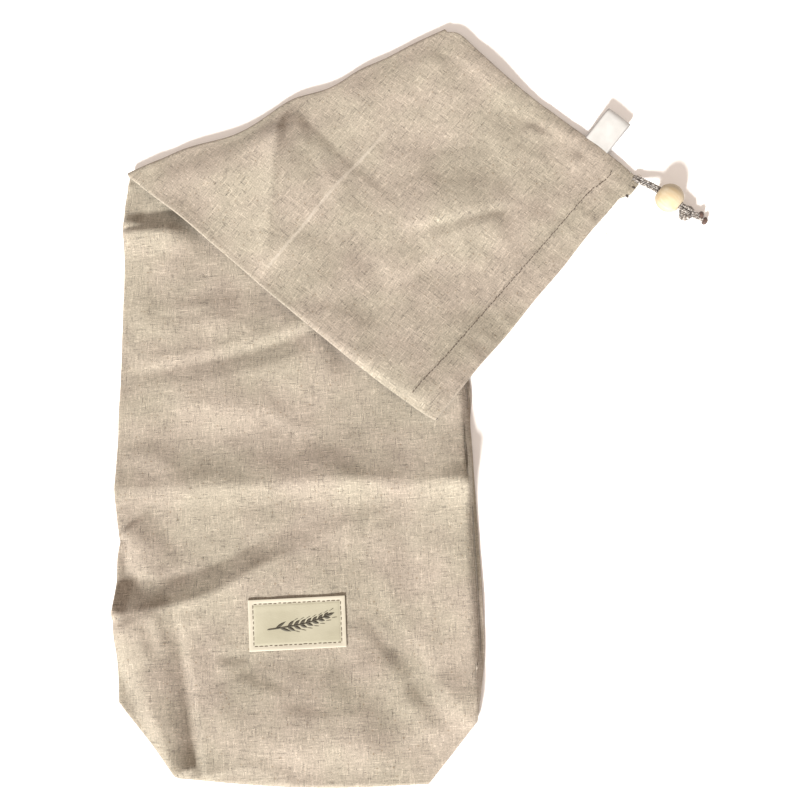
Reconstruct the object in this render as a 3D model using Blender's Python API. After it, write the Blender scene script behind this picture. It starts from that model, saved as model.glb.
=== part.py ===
"""Linen bread bag with a drawstring, lying flat with its upper part folded over.

Two linen panels are sewn together at the sides and the bottom, and the bottom corners
are sewn across, so they lie cut off. The bag lies on its back panel. Its upper part is
folded over along a slanting line, so its mouth points down to the right, and there the
back panel is on top. A leather patch is sewn to the front, a care ribbon into a side
seam, and a drawstring with a bead comes out of the hem at the mouth.

Units in the tables are millimetres: x to the right, y up the bag, z up from the table.
"""

import math

import bpy
import numpy as np
from mathutils import Matrix, Vector

MM = 0.001

# Cloth, as built: one layer, and the space between two layers
SHEET = 1.0
SPACE = 0.7
STACK = 2 * SHEET + SPACE  # height of the two layers that lie on the table
PIECE_GAP = 0.3

# The fold: half its outer height, and the line that its outside follows
BEND = 4.3
FOLD_LEFT = (-123.0, 449.0)
FOLD_RIGHT = (125.0, 561.0)
BEND_STEPS = 8

# Both side edges, a row for each section of the lower run, from the bottom seam up
# name, left x, left y, right x, right y, corner
LOWER_ROWS = (
    ("bottom seam", -82, 6, 88, -4, True),
    ("top of the cut corners", -124, 58, 123, 36, True),
    ("low side", -129, 110, 130.5, 80, False),
    ("below the pinch", -129, 136, 131, 112, False),
    ("pinch", -125.5, 166, 130.8, 150, False),
    ("crosswise crease", -129.5, 206, 129.6, 203, False),
    ("middle", -128.5, 258, 129, 240, False),
    ("long crease", -127, 318, 125.5, 312, False),
    ("below the ridge", -125, 386, 125, 432, False),
    ("ridge", -126.5, 412, 125, 490, False),
)
# The same for the upper run, from the fold to the mouth
UPPER_ROWS = (
    ("shoulder", -104, 430, 139, 551, False),
    ("upper side", -54, 386, 166, 522, False),
    ("middle", 14, 321, 206, 484, False),
    ("hem seam", 87, 258, 246, 448, False),
    ("mouth", 104, 245, 265, 430, True),
)
BOTTOM_BOW = 4.0  # the bottom seam dips by this much in its middle

# How far the fold line lies inside a straight one, along it from 0 to 1
# name, centre, half length, depth
FOLD_SCALLOPS = (
    ("left of the pleat", 0.34, 0.20, 7.5),
    ("right of the pleat", 0.66, 0.17, 4.5),
)
SCALLOP_REACH = 70.0

# Soft ridges of the front panel's lower run: each runs between two points
# name, x1, y1, x2, y2, height, reach to its left, reach to its right, fade at its ends
LOWER_RIDGES = (
    ("ridge at the fold", -134, 404, -60, 402, 5.5, 18, 60, 34),
    ("swell above the long crease", -150, 345, -20, 372, 2.2, 40, 48, 60),
    ("swell below the long crease", -150, 240, 90, 262, 2.0, 48, 38, 60),
    ("crosswise crease", -160, 206, 160, 202, 3.4, 48, 44, 40),
    ("belly ridge, left", -140, 117, -58, 133, 5.0, 22, 44, 26),
    ("belly ridge, right", -62, 132, 34, 172, 3.2, 24, 34, 34),
    ("cut corner", -112, 104, -98, 22, 4.6, 24, 28, 34),
)
# The front panel alone stands up beside the right side seam, then drops to it
FRONT_RIDGES = (
    *LOWER_RIDGES,
    ("beside the right seam", 125, 340, 125, 30, 6.8, 6, 48, 60),
)
# and the upper run sinks softly past that ridge
SUPPORT_RIDGES = (
    *LOWER_RIDGES,
    ("over the right seam", 125, 340, 125, 30, 6.8, 50, 48, 60),
)
# The same for the upper run, whose two layers rise together
UPPER_RIDGES = (
    ("pleat", -2, 500, -22, 366, 3.4, 16, 46, 40),
    ("pressed crease", -24, 361, 34, 428, 1.8, 14, 26, 24),
    ("swell by the fold", 30, 500, 120, 545, 2.2, 40, 46, 50),
    ("swell above the valley", 62, 425, 176, 440, 2.4, 40, 34, 50),
    ("swell below the valley", 60, 352, 160, 372, 2.0, 34, 44, 50),
    ("side edge", 150, 520, 250, 440, 1.8, 30, 30, 40),
)
EDGE_REACH = 26.0  # the back panel rises with the front one this far from a side edge
BACK_SHARE = 0.75  # by this share of the front one's height
LOOSE_LENGTH = 120.0  # the upper run sinks from the fold's height over this length
UPPER_LIFT = 0.8  # the upper run lies this much above the lower one
FLOOR_LIFT = 1.4  # and this much above the table past the lower run's edge
DRAPE_START = 129.0
DRAPE_LENGTH = 84.0

COLUMNS = 19  # across the panel
CREST_COLUMN = 0.98  # one more, on the ridge beside the right seam
ROW_PITCH = 15.0

# Leather patch on the front panel
PATCH_SIZE = (68.0, 35.5)
PATCH_CENTRE = (0.6, 106.6)
PATCH_TURN = math.radians(0.7)
PATCH_THICK = 1.4
PATCH_GRID = (7, 4)

# Care ribbon in the side seam of the upper run
RIBBON_WIDTH = 21.0
RIBBON_ROOT = (237.8, 458.4)  # middle of its sewn end
# Its run, out from the seam and up from the table: out along the top, round the tip, back
RIBBON_RUN = (
    (0.0, 4.4), (7.0, 5.9), (14.0, 7.9), (20.0, 9.7), (25.0, 10.9), (27.0, 10.9),
    (28.1, 10.1), (28.1, 9.1), (27.0, 8.3), (20.0, 7.2), (14.0, 5.7), (7.0, 4.0), (0.0, 2.6),
)
RIBBON_THICK = 1.0
RIBBON_LINES = 3
SEAM_CLEAR = 1.2  # from the side edge to the ribbon

# Drawstring: two strands out of the hem's end, through the bead, to the knot
STRAND = 2.6  # diameter
STRAND_PITCH = 3.0  # between the two strands
# name, x, y, z of the middle of the pair
DRAWSTRING_ROUTE = (
    ("hem end", 266.6, 428.4, 4.6),
    ("out of the hem", 269.8, 425.8, 5.6),
    ("rising", 274.6, 421.8, 8.0),
    ("before the bead", 279.8, 417.0, 10.2),
    ("in the bead", 287.6, 409.9, 10.7),
    ("after the bead", 295.5, 403.6, 10.0),
    ("at the knot", 303.0, 399.6, 7.6),
)
STRAND_POINTS = 24
BEAD_DIAMETER = 21.4
BEAD_BORE = 7.2
BEAD_LENGTH = 19.0
BEAD_CENTRE = (287.6, 409.9)
BEAD_DIRECTION = (0.745, -0.667, 0.0)
BEAD_ARC_STEPS = 12
BORE_EASE = (0.4, 0.6)  # the bore's rim, wider and deeper by these
KNOT_LENGTH = 11.0
KNOT_THICK = 8.6
KNOT_NECK = 1.6  # least radius where the cord goes in
KNOT_DROP = 2.1  # how steeply the knot and its ends run down to the table
ENDS_LENGTH = 8.0
ENDS_THICK = 5.4


def clear_scene():
    for old in list(bpy.data.objects):
        bpy.data.objects.remove(old, do_unlink=True)


def material(name, colour, roughness):
    mat = bpy.data.materials.new(name)
    mat.use_nodes = True
    shader = mat.node_tree.nodes["Principled BSDF"]
    shader.inputs["Base Color"].default_value = (*colour, 1.0)
    shader.inputs["Roughness"].default_value = roughness
    shader.inputs["Metallic"].default_value = 0.0
    return mat


def ease(t):
    """Smooth step from 0 at t <= 0 to 1 at t >= 1."""
    t = min(max(t, 0.0), 1.0)
    return t * t * (3.0 - 2.0 * t)


def ridge_height(ridge, x, y):
    """Height at (x, y) of one ridge, whose sides fall away over their own reaches."""
    _, x1, y1, x2, y2, height, reach_left, reach_right, fade = ridge
    length = math.hypot(x2 - x1, y2 - y1)
    along_x, along_y = (x2 - x1) / length, (y2 - y1) / length
    along = (x - x1) * along_x + (y - y1) * along_y
    aside = (y - y1) * along_x - (x - x1) * along_y
    reach = reach_left if aside > 0 else reach_right
    side = ease(1.0 - abs(aside) / reach)
    ends = ease(along / fade) * ease((length - along) / fade)
    return height * side * ends


def relief(ridges, x, y):
    return sum(ridge_height(ridge, x, y) for ridge in ridges)


def scallop(u):
    """How far inside its straight line the fold lies at u of its length."""
    return sum(
        depth * math.cos(math.pi / 2 * (u - centre) / half) ** 2
        for _, centre, half, depth in FOLD_SCALLOPS
        if abs(u - centre) < half
    )


def fold_frame():
    """Direction of the fold line, and the direction from it into the bag."""
    dx, dy = FOLD_RIGHT[0] - FOLD_LEFT[0], FOLD_RIGHT[1] - FOLD_LEFT[1]
    length = math.hypot(dx, dy)
    return (dx / length, dy / length), (dy / length, -dx / length)


def fold_row():
    """Ends of the line that the fold turns about."""
    _, inward = fold_frame()
    left = [FOLD_LEFT[i] + inward[i] * BEND for i in (0, 1)]
    right = [FOLD_RIGHT[i] + inward[i] * BEND for i in (0, 1)]
    return (*left, *right)


def edge_curve(rows):
    """Both edges through the rows: smooth, with a corner where a row asks for one."""
    points = np.array([row[1:5] for row in rows], dtype=float)
    corners = [row[5] for row in rows]
    slopes = np.diff(points, axis=0)
    last = len(rows) - 1

    def tangents(index):
        before = slopes[max(index - 1, 0)]
        after = slopes[min(index, last - 1)]
        if corners[index] or index in (0, last):
            return before, after
        return (before + after) / 2, (before + after) / 2

    def curve(t):
        index = min(int(t), last - 1)
        f = t - index
        start, end = points[index], points[index + 1]
        out_of, into = tangents(index)[1], tangents(index + 1)[0]
        return (
            (2 * f**3 - 3 * f**2 + 1) * start
            + (f**3 - 2 * f**2 + f) * out_of
            + (3 * f**2 - 2 * f**3) * end
            + (f**3 - f**2) * into
        )

    steps = []
    for index in range(last):
        left = np.hypot(*slopes[index][:2])
        right = np.hypot(*slopes[index][2:])
        count = max(2, round((left + right) / 2 / ROW_PITCH))
        steps += [curve(index + step / count) for step in range(count)]
    return steps + [points[last]]


def support(x, y):
    """Top of what the upper run lies on: the lower run, then down to the table."""
    on_bag = STACK + relief(SUPPORT_RIDGES, x, y) + UPPER_LIFT
    past_edge = ease((x - DRAPE_START) / DRAPE_LENGTH)
    return on_bag * (1 - past_edge) + FLOOR_LIFT * past_edge


def panel_points(front):
    """Middle surface of a panel: rows from the bottom seam, round the fold, to the mouth."""
    axis = fold_row()
    (dx, dy), inward = fold_frame()
    lower = edge_curve((*LOWER_ROWS, ("fold", *axis, True)))
    upper = edge_curve((("fold", *axis, True), *UPPER_ROWS))
    radius = BEND - SHEET / 2 - (SHEET + SPACE if front else 0.0)
    columns = sorted([i / (COLUMNS - 1) for i in range(COLUMNS)] + [CREST_COLUMN])

    def place(row, u):
        x = row[0] + (row[2] - row[0]) * u
        y = row[1] + (row[3] - row[1]) * u
        below = (x - axis[0]) * inward[0] + (y - axis[1]) * inward[1]
        shift = scallop(u) * ease(1 - abs(below) / SCALLOP_REACH)
        bottom = BOTTOM_BOW * math.sin(math.pi * u) * ease(1 - y / LOWER_ROWS[1][2])
        return x + inward[0] * shift, y + inward[1] * shift - bottom

    def edge_share(u, width):
        edge = min(u, 1 - u) * width
        return 1 - ease(edge / EDGE_REACH)

    def rest_height(x, y, u, width):
        """How far the lower run of this panel is lifted."""
        if front:
            return relief(FRONT_RIDGES, x, y)
        return BACK_SHARE * edge_share(u, width) * relief(LOWER_RIDGES, x, y)

    grid = []
    for row in lower[:-1]:
        width = math.hypot(row[2] - row[0], row[3] - row[1])
        line = []
        for u in columns:
            x, y = place(row, u)
            line.append((x, y, BEND - radius + rest_height(x, y, u, width)))
        grid.append(line)
    for step in range(BEND_STEPS + 1):
        angle = math.pi * step / BEND_STEPS
        out = radius * math.sin(angle)
        line = []
        for u in columns:
            x, y = place(axis, u)
            x, y = x - inward[0] * out, y - inward[1] * out
            low = relief(LOWER_RIDGES, x, y) * (1.0 if front else 0.0)
            high = low + relief(UPPER_RIDGES, x, y)
            line.append((x, y, BEND - radius * math.cos(angle) + high * ease(step / BEND_STEPS)))
        grid.append(line)
    for row in upper[1:]:
        line = []
        for u in columns:
            x, y = place(row, u)
            below = (x - axis[0]) * inward[0] + (y - axis[1]) * inward[1]
            loose = 1 - ease(below / LOOSE_LENGTH)
            inner = BEND - 1.5 * SHEET - SPACE - SHEET / 2
            at_fold = 2 * BEND - (BEND - inner) + relief(LOWER_RIDGES, x, y)
            base = support(x, y) * (1 - loose) + at_fold * loose + relief(UPPER_RIDGES, x, y)
            line.append((x, y, base + SHEET / 2 + (0.0 if front else SHEET + SPACE)))
        grid.append(line)
    return grid


def sheet_object(name, grid, thickness, mat):
    """A grid of middle points as a closed sheet of even thickness."""
    rows, columns = len(grid), len(grid[0])
    verts = [tuple(MM * c for c in point) for line in grid for point in line]
    faces = [
        (r * columns + c, r * columns + c + 1, (r + 1) * columns + c + 1, (r + 1) * columns + c)
        for r in range(rows - 1)
        for c in range(columns - 1)
    ]
    mesh = bpy.data.meshes.new(name)
    mesh.from_pydata(verts, [], faces)
    obj = add_object(name, mesh, mat)
    wall = obj.modifiers.new("thickness", "SOLIDIFY")
    wall.thickness = thickness * MM
    wall.offset = 0.0
    wall.use_even_offset = True
    return obj


def add_object(name, data, mat):
    data.materials.append(mat)
    obj = bpy.data.objects.new(name, data)
    bpy.context.collection.objects.link(obj)
    return obj


def build_panels(linen):
    front = sheet_object("front_panel", panel_points(front=True), SHEET, linen)
    back = sheet_object("back_panel", panel_points(front=False), SHEET, linen)
    return front, back


def build_patch(leather):
    """A plate that follows the front panel, a little above it."""
    columns, rows = PATCH_GRID
    turn = Matrix.Rotation(PATCH_TURN, 2)
    grid = []
    for r in range(rows):
        line = []
        for c in range(columns):
            local = Vector(
                ((c / (columns - 1) - 0.5) * PATCH_SIZE[0], (r / (rows - 1) - 0.5) * PATCH_SIZE[1])
            )
            x, y = turn @ local
            x, y = x + PATCH_CENTRE[0], y + PATCH_CENTRE[1]
            rise = relief(FRONT_RIDGES, x, y)
            line.append((x, y, STACK + rise + 2 * PIECE_GAP + PATCH_THICK / 2))
        grid.append(line)
    return sheet_object("leather_patch", grid, PATCH_THICK, leather)


def build_ribbon(satin):
    """A short loop of ribbon square to the side seam, its tip lifted from the table."""
    side = Vector((UPPER_ROWS[3][3] - UPPER_ROWS[2][3], UPPER_ROWS[3][4] - UPPER_ROWS[2][4]))
    side.normalize()
    out = Vector((-side.y, side.x))
    root = Vector(RIBBON_ROOT) + out * SEAM_CLEAR
    grid = [
        [
            (*(root + out * reach + side * RIBBON_WIDTH * (c / (RIBBON_LINES - 1) - 0.5)), up)
            for c in range(RIBBON_LINES)
        ]
        for reach, up in RIBBON_RUN
    ]
    grid = [line[::-1] for line in grid]
    return sheet_object("care_ribbon", grid, RIBBON_THICK, satin)


def smooth_route(points, count):
    """Points evenly along a Catmull-Rom curve through the route's own points."""
    points = [Vector(p) for p in points]
    ends = [2 * points[0] - points[1]] + points + [2 * points[-1] - points[-2]]
    fine = []
    for i in range(1, len(ends) - 2):
        a, b, c, d = ends[i - 1 : i + 3]
        for step in range(20):
            t = step / 20
            fine.append(
                0.5 * (2 * b + (c - a) * t + (2 * a - 5 * b + 4 * c - d) * t**2
                       + (3 * b - a - 3 * c + d) * t**3)
            )
    fine.append(points[-1])
    walked = np.cumsum([0.0] + [(q - p).length for p, q in zip(fine, fine[1:])])
    where = np.linspace(0, walked[-1], count)
    return [tuple(np.interp(w, walked, [p[k] for p in fine]) for k in range(3)) for w in where]


def build_strands(cord):
    """The two strands side by side, one a little before the other seen from the mouth."""
    strands = []
    route = [row[1:] for row in DRAWSTRING_ROUTE]
    along = Vector(route[-1]) - Vector(route[0])
    side = Vector((-along.y, along.x, 0)).normalized() * STRAND_PITCH / 2
    for name, sign in (("drawstring_upper", 1), ("drawstring_lower", -1)):
        points = smooth_route([Vector(p) + sign * side for p in route], STRAND_POINTS)
        curve = bpy.data.curves.new(name, "CURVE")
        curve.dimensions = "3D"
        curve.bevel_depth = STRAND / 2 * MM
        curve.bevel_resolution = 2
        curve.use_fill_caps = True
        spline = curve.splines.new("POLY")
        spline.points.add(len(points) - 1)
        for target, point in zip(spline.points, points):
            target.co = (*(MM * c for c in point), 1.0)
        strands.append(add_object(name, curve, cord))
    return strands


def turned(name, profile, start, direction, steps, mat, closed):
    """A profile of (distance along, radius) pairs turned about the line from start."""
    direction = Vector(direction).normalized()
    across = Vector((0, 0, 1)).cross(direction).normalized()
    up = direction.cross(across)
    verts = []
    for along, radius in profile:
        for step in range(steps):
            angle = 2 * math.pi * step / steps
            spoke = across * math.cos(angle) + up * math.sin(angle)
            verts.append(tuple((Vector(start) + direction * along + spoke * radius) * MM))
    count = len(profile)
    faces = []
    for ring in range(count if closed else count - 1):
        nxt = (ring + 1) % count
        for step in range(steps):
            turn = (step + 1) % steps
            faces.append(
                (ring * steps + step, ring * steps + turn, nxt * steps + turn, nxt * steps + step)
            )
    if not closed:
        faces.append(tuple(reversed(range(steps))))
        faces.append(tuple((count - 1) * steps + step for step in range(steps)))
    mesh = bpy.data.meshes.new(name)
    mesh.from_pydata(verts, [], faces)
    mesh.shade_smooth()
    return add_object(name, mesh, mat)


def build_bead(wood):
    """A round bead with a bore through it, standing on the table."""
    radius, bore = BEAD_DIAMETER / 2, BEAD_BORE / 2
    reach = math.acos(BEAD_LENGTH / BEAD_DIAMETER)
    opening = math.pi - 2 * reach
    arc = [reach + opening * i / BEAD_ARC_STEPS for i in range(BEAD_ARC_STEPS + 1)]
    profile = [(-radius * math.cos(a), radius * math.sin(a)) for a in arc]
    wider, deeper = BORE_EASE
    half = BEAD_LENGTH / 2
    profile += [(half, bore + wider), (half - deeper, bore)]
    profile += [(-half + deeper, bore), (-half, bore + wider)]
    centre = (*BEAD_CENTRE, radius)
    return turned("bead", profile, centre, BEAD_DIRECTION, 24, wood, closed=True)


def build_knot(cord):
    """The knot with its short cut ends, which lie on the table."""
    last, before = DRAWSTRING_ROUTE[-1][1:], DRAWSTRING_ROUTE[-2][1:]
    direction = Vector((last[0] - before[0], last[1] - before[1], -KNOT_DROP))
    start = Vector(last) + direction.normalized() * PIECE_GAP
    half = KNOT_LENGTH / 2
    profile = [
        (half - half * math.cos(a), max(KNOT_THICK / 2 * math.sin(a), KNOT_NECK))
        for a in (math.pi * i / 8 for i in range(8))
    ]
    profile += [
        (KNOT_LENGTH, ENDS_THICK / 2 * 0.8),
        (KNOT_LENGTH + ENDS_LENGTH * 0.6, ENDS_THICK / 2),
        (KNOT_LENGTH + ENDS_LENGTH, ENDS_THICK / 2 * 0.85),
    ]
    return turned("knot", profile, start, direction, 14, cord, closed=False)


def centre_on_origin(objects, measured):
    """Moves all so that the measured objects' box stands centred on the origin."""
    bpy.context.view_layer.update()
    graph = bpy.context.evaluated_depsgraph_get()
    corners = []
    for obj in measured:
        shape = obj.evaluated_get(graph)
        mesh = shape.to_mesh()
        corners += [v.co.copy() for v in mesh.vertices]
        shape.to_mesh_clear()
    low = [min(c[k] for c in corners) for k in range(3)]
    high = [max(c[k] for c in corners) for k in range(3)]
    shift = Vector((-(low[0] + high[0]) / 2, -(low[1] + high[1]) / 2, -low[2]))
    for obj in objects:
        obj.location = shift


def main():
    clear_scene()
    linen = material("linen", (0.62, 0.53, 0.41), 0.92)
    leather = material("cream_leather", (0.74, 0.70, 0.54), 0.5)
    satin = material("white_satin", (0.88, 0.88, 0.86), 0.45)
    cord = material("mottled_cord", (0.48, 0.44, 0.39), 0.9)
    wood = material("pale_wood", (0.84, 0.71, 0.50), 0.45)
    front, back = build_panels(linen)
    patch = build_patch(leather)
    ribbon = build_ribbon(satin)
    strands = build_strands(cord)
    bead = build_bead(wood)
    knot = build_knot(cord)
    cloth = [front, back, patch, ribbon]
    centre_on_origin([*cloth, *strands, bead, knot], cloth)


main()
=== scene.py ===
"""Looks of the linen bread bag: cloth with its creases, patch, ribbon, bead and drawstring.

Tables are in millimetres on the bag: x across it from its middle, y up it from the bottom
seam, z up from the table. The bag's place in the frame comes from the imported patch.
"""

import math

import bpy
import numpy as np
from mathutils import Matrix, Vector

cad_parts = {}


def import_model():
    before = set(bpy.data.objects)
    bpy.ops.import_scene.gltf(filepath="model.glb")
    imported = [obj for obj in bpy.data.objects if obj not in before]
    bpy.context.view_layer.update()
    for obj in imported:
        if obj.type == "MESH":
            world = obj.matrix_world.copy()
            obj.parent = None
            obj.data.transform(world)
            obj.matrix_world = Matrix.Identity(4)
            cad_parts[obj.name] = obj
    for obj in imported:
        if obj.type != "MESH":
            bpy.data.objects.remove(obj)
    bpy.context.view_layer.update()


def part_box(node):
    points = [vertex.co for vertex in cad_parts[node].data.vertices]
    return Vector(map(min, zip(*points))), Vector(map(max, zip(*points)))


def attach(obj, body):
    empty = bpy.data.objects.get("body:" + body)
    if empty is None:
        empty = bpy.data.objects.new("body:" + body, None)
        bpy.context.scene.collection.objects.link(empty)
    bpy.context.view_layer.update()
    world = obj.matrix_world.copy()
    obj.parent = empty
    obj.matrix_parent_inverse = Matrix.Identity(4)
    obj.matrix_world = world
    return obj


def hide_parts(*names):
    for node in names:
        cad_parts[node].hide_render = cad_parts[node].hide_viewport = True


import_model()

MM = 0.001

# ---------------------------------------------------------------- the bag's own sizes
CLOTH = 0.6  # thickness of the linen
LAYER = 1.7  # from the middle of one layer to the middle of the next
FIRST = 0.5  # height of the middle of the layer that lies on the table
BEND = 4.3  # half the outer height of the fold
BEND_SHEET = 1.0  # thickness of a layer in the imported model, which sets where the layers lie
FOLD_LEFT = (-123.0, 449.0)
FOLD_RIGHT = (125.0, 561.0)

PATCH_CENTRE = (0.6, 106.6)
PATCH_SIZE = (68.0, 35.5)
PATCH_TURN = math.radians(0.7)
PATCH_THICK = 1.3

HEM_DEPTH = 24.0
HEM_SPREAD = 1.3  # the hem's cord and turned-in cloth hold the panels this much further apart

# Both side edges, a row for each section, from the bottom seam up to the fold
# name, left x, left y, right x, right y, corner
LOWER_ROWS = (
    ("bottom seam", -82, 6, 88, -4, True),
    ("top of the cut corners", -124, 58, 123, 36, True),
    ("low side", -126.8, 110, 130.4, 80, False),
    ("below the pinch", -126.6, 136, 131.2, 112, False),
    ("under the tuck", -126, 157, 131.0, 142, False),
    ("pinch", -124.2, 167, 130.8, 150, True),
    ("above the pinch", -126.6, 181, 130.6, 172, False),
    ("crosswise crease", -128.8, 206, 129.8, 203, False),
    ("middle", -127.5, 258, 129, 240, False),
    ("long crease", -126, 318, 125.5, 312, False),
    ("below the ridge", -124.4, 386, 125, 432, False),
    ("ridge", -126.2, 406, 125, 483, True),
    ("recess", -124.6, 424, 125, 514, False),
)
# The same from the fold to the mouth
UPPER_ROWS = (
    ("shoulder", -104, 430, 139, 552.5, False),
    ("upper side", -54, 386, 166, 522, False),
    ("middle", 14, 321, 207, 485, False),
    ("hem seam", 86.5, 258.5, 247, 449.5, False),
    ("mouth", 102.8, 246, 265.2, 431.4, True),
)
BOTTOM_BOW = 4.0
CUT_CORNER_TOP = 58.0

# How far the fold lies inside a straight line: name, centre, half length, depth
FOLD_SCALLOPS = (
    ("left of the pleat", 0.34, 0.19, 7.6),
    ("right of the pleat", 0.63, 0.13, 4.6),
    ("far right", 0.80, 0.12, 1.6),
)
SCALLOP_REACH = 70.0

# The pressed crease across the bag, above its middle
CROSSWISE_LINE = (
    (-133, 207), (-104, 205), (-68, 204), (-32, 203), (8, 204.5), (33, 203), (76, 201), (128, 198),
)

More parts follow.
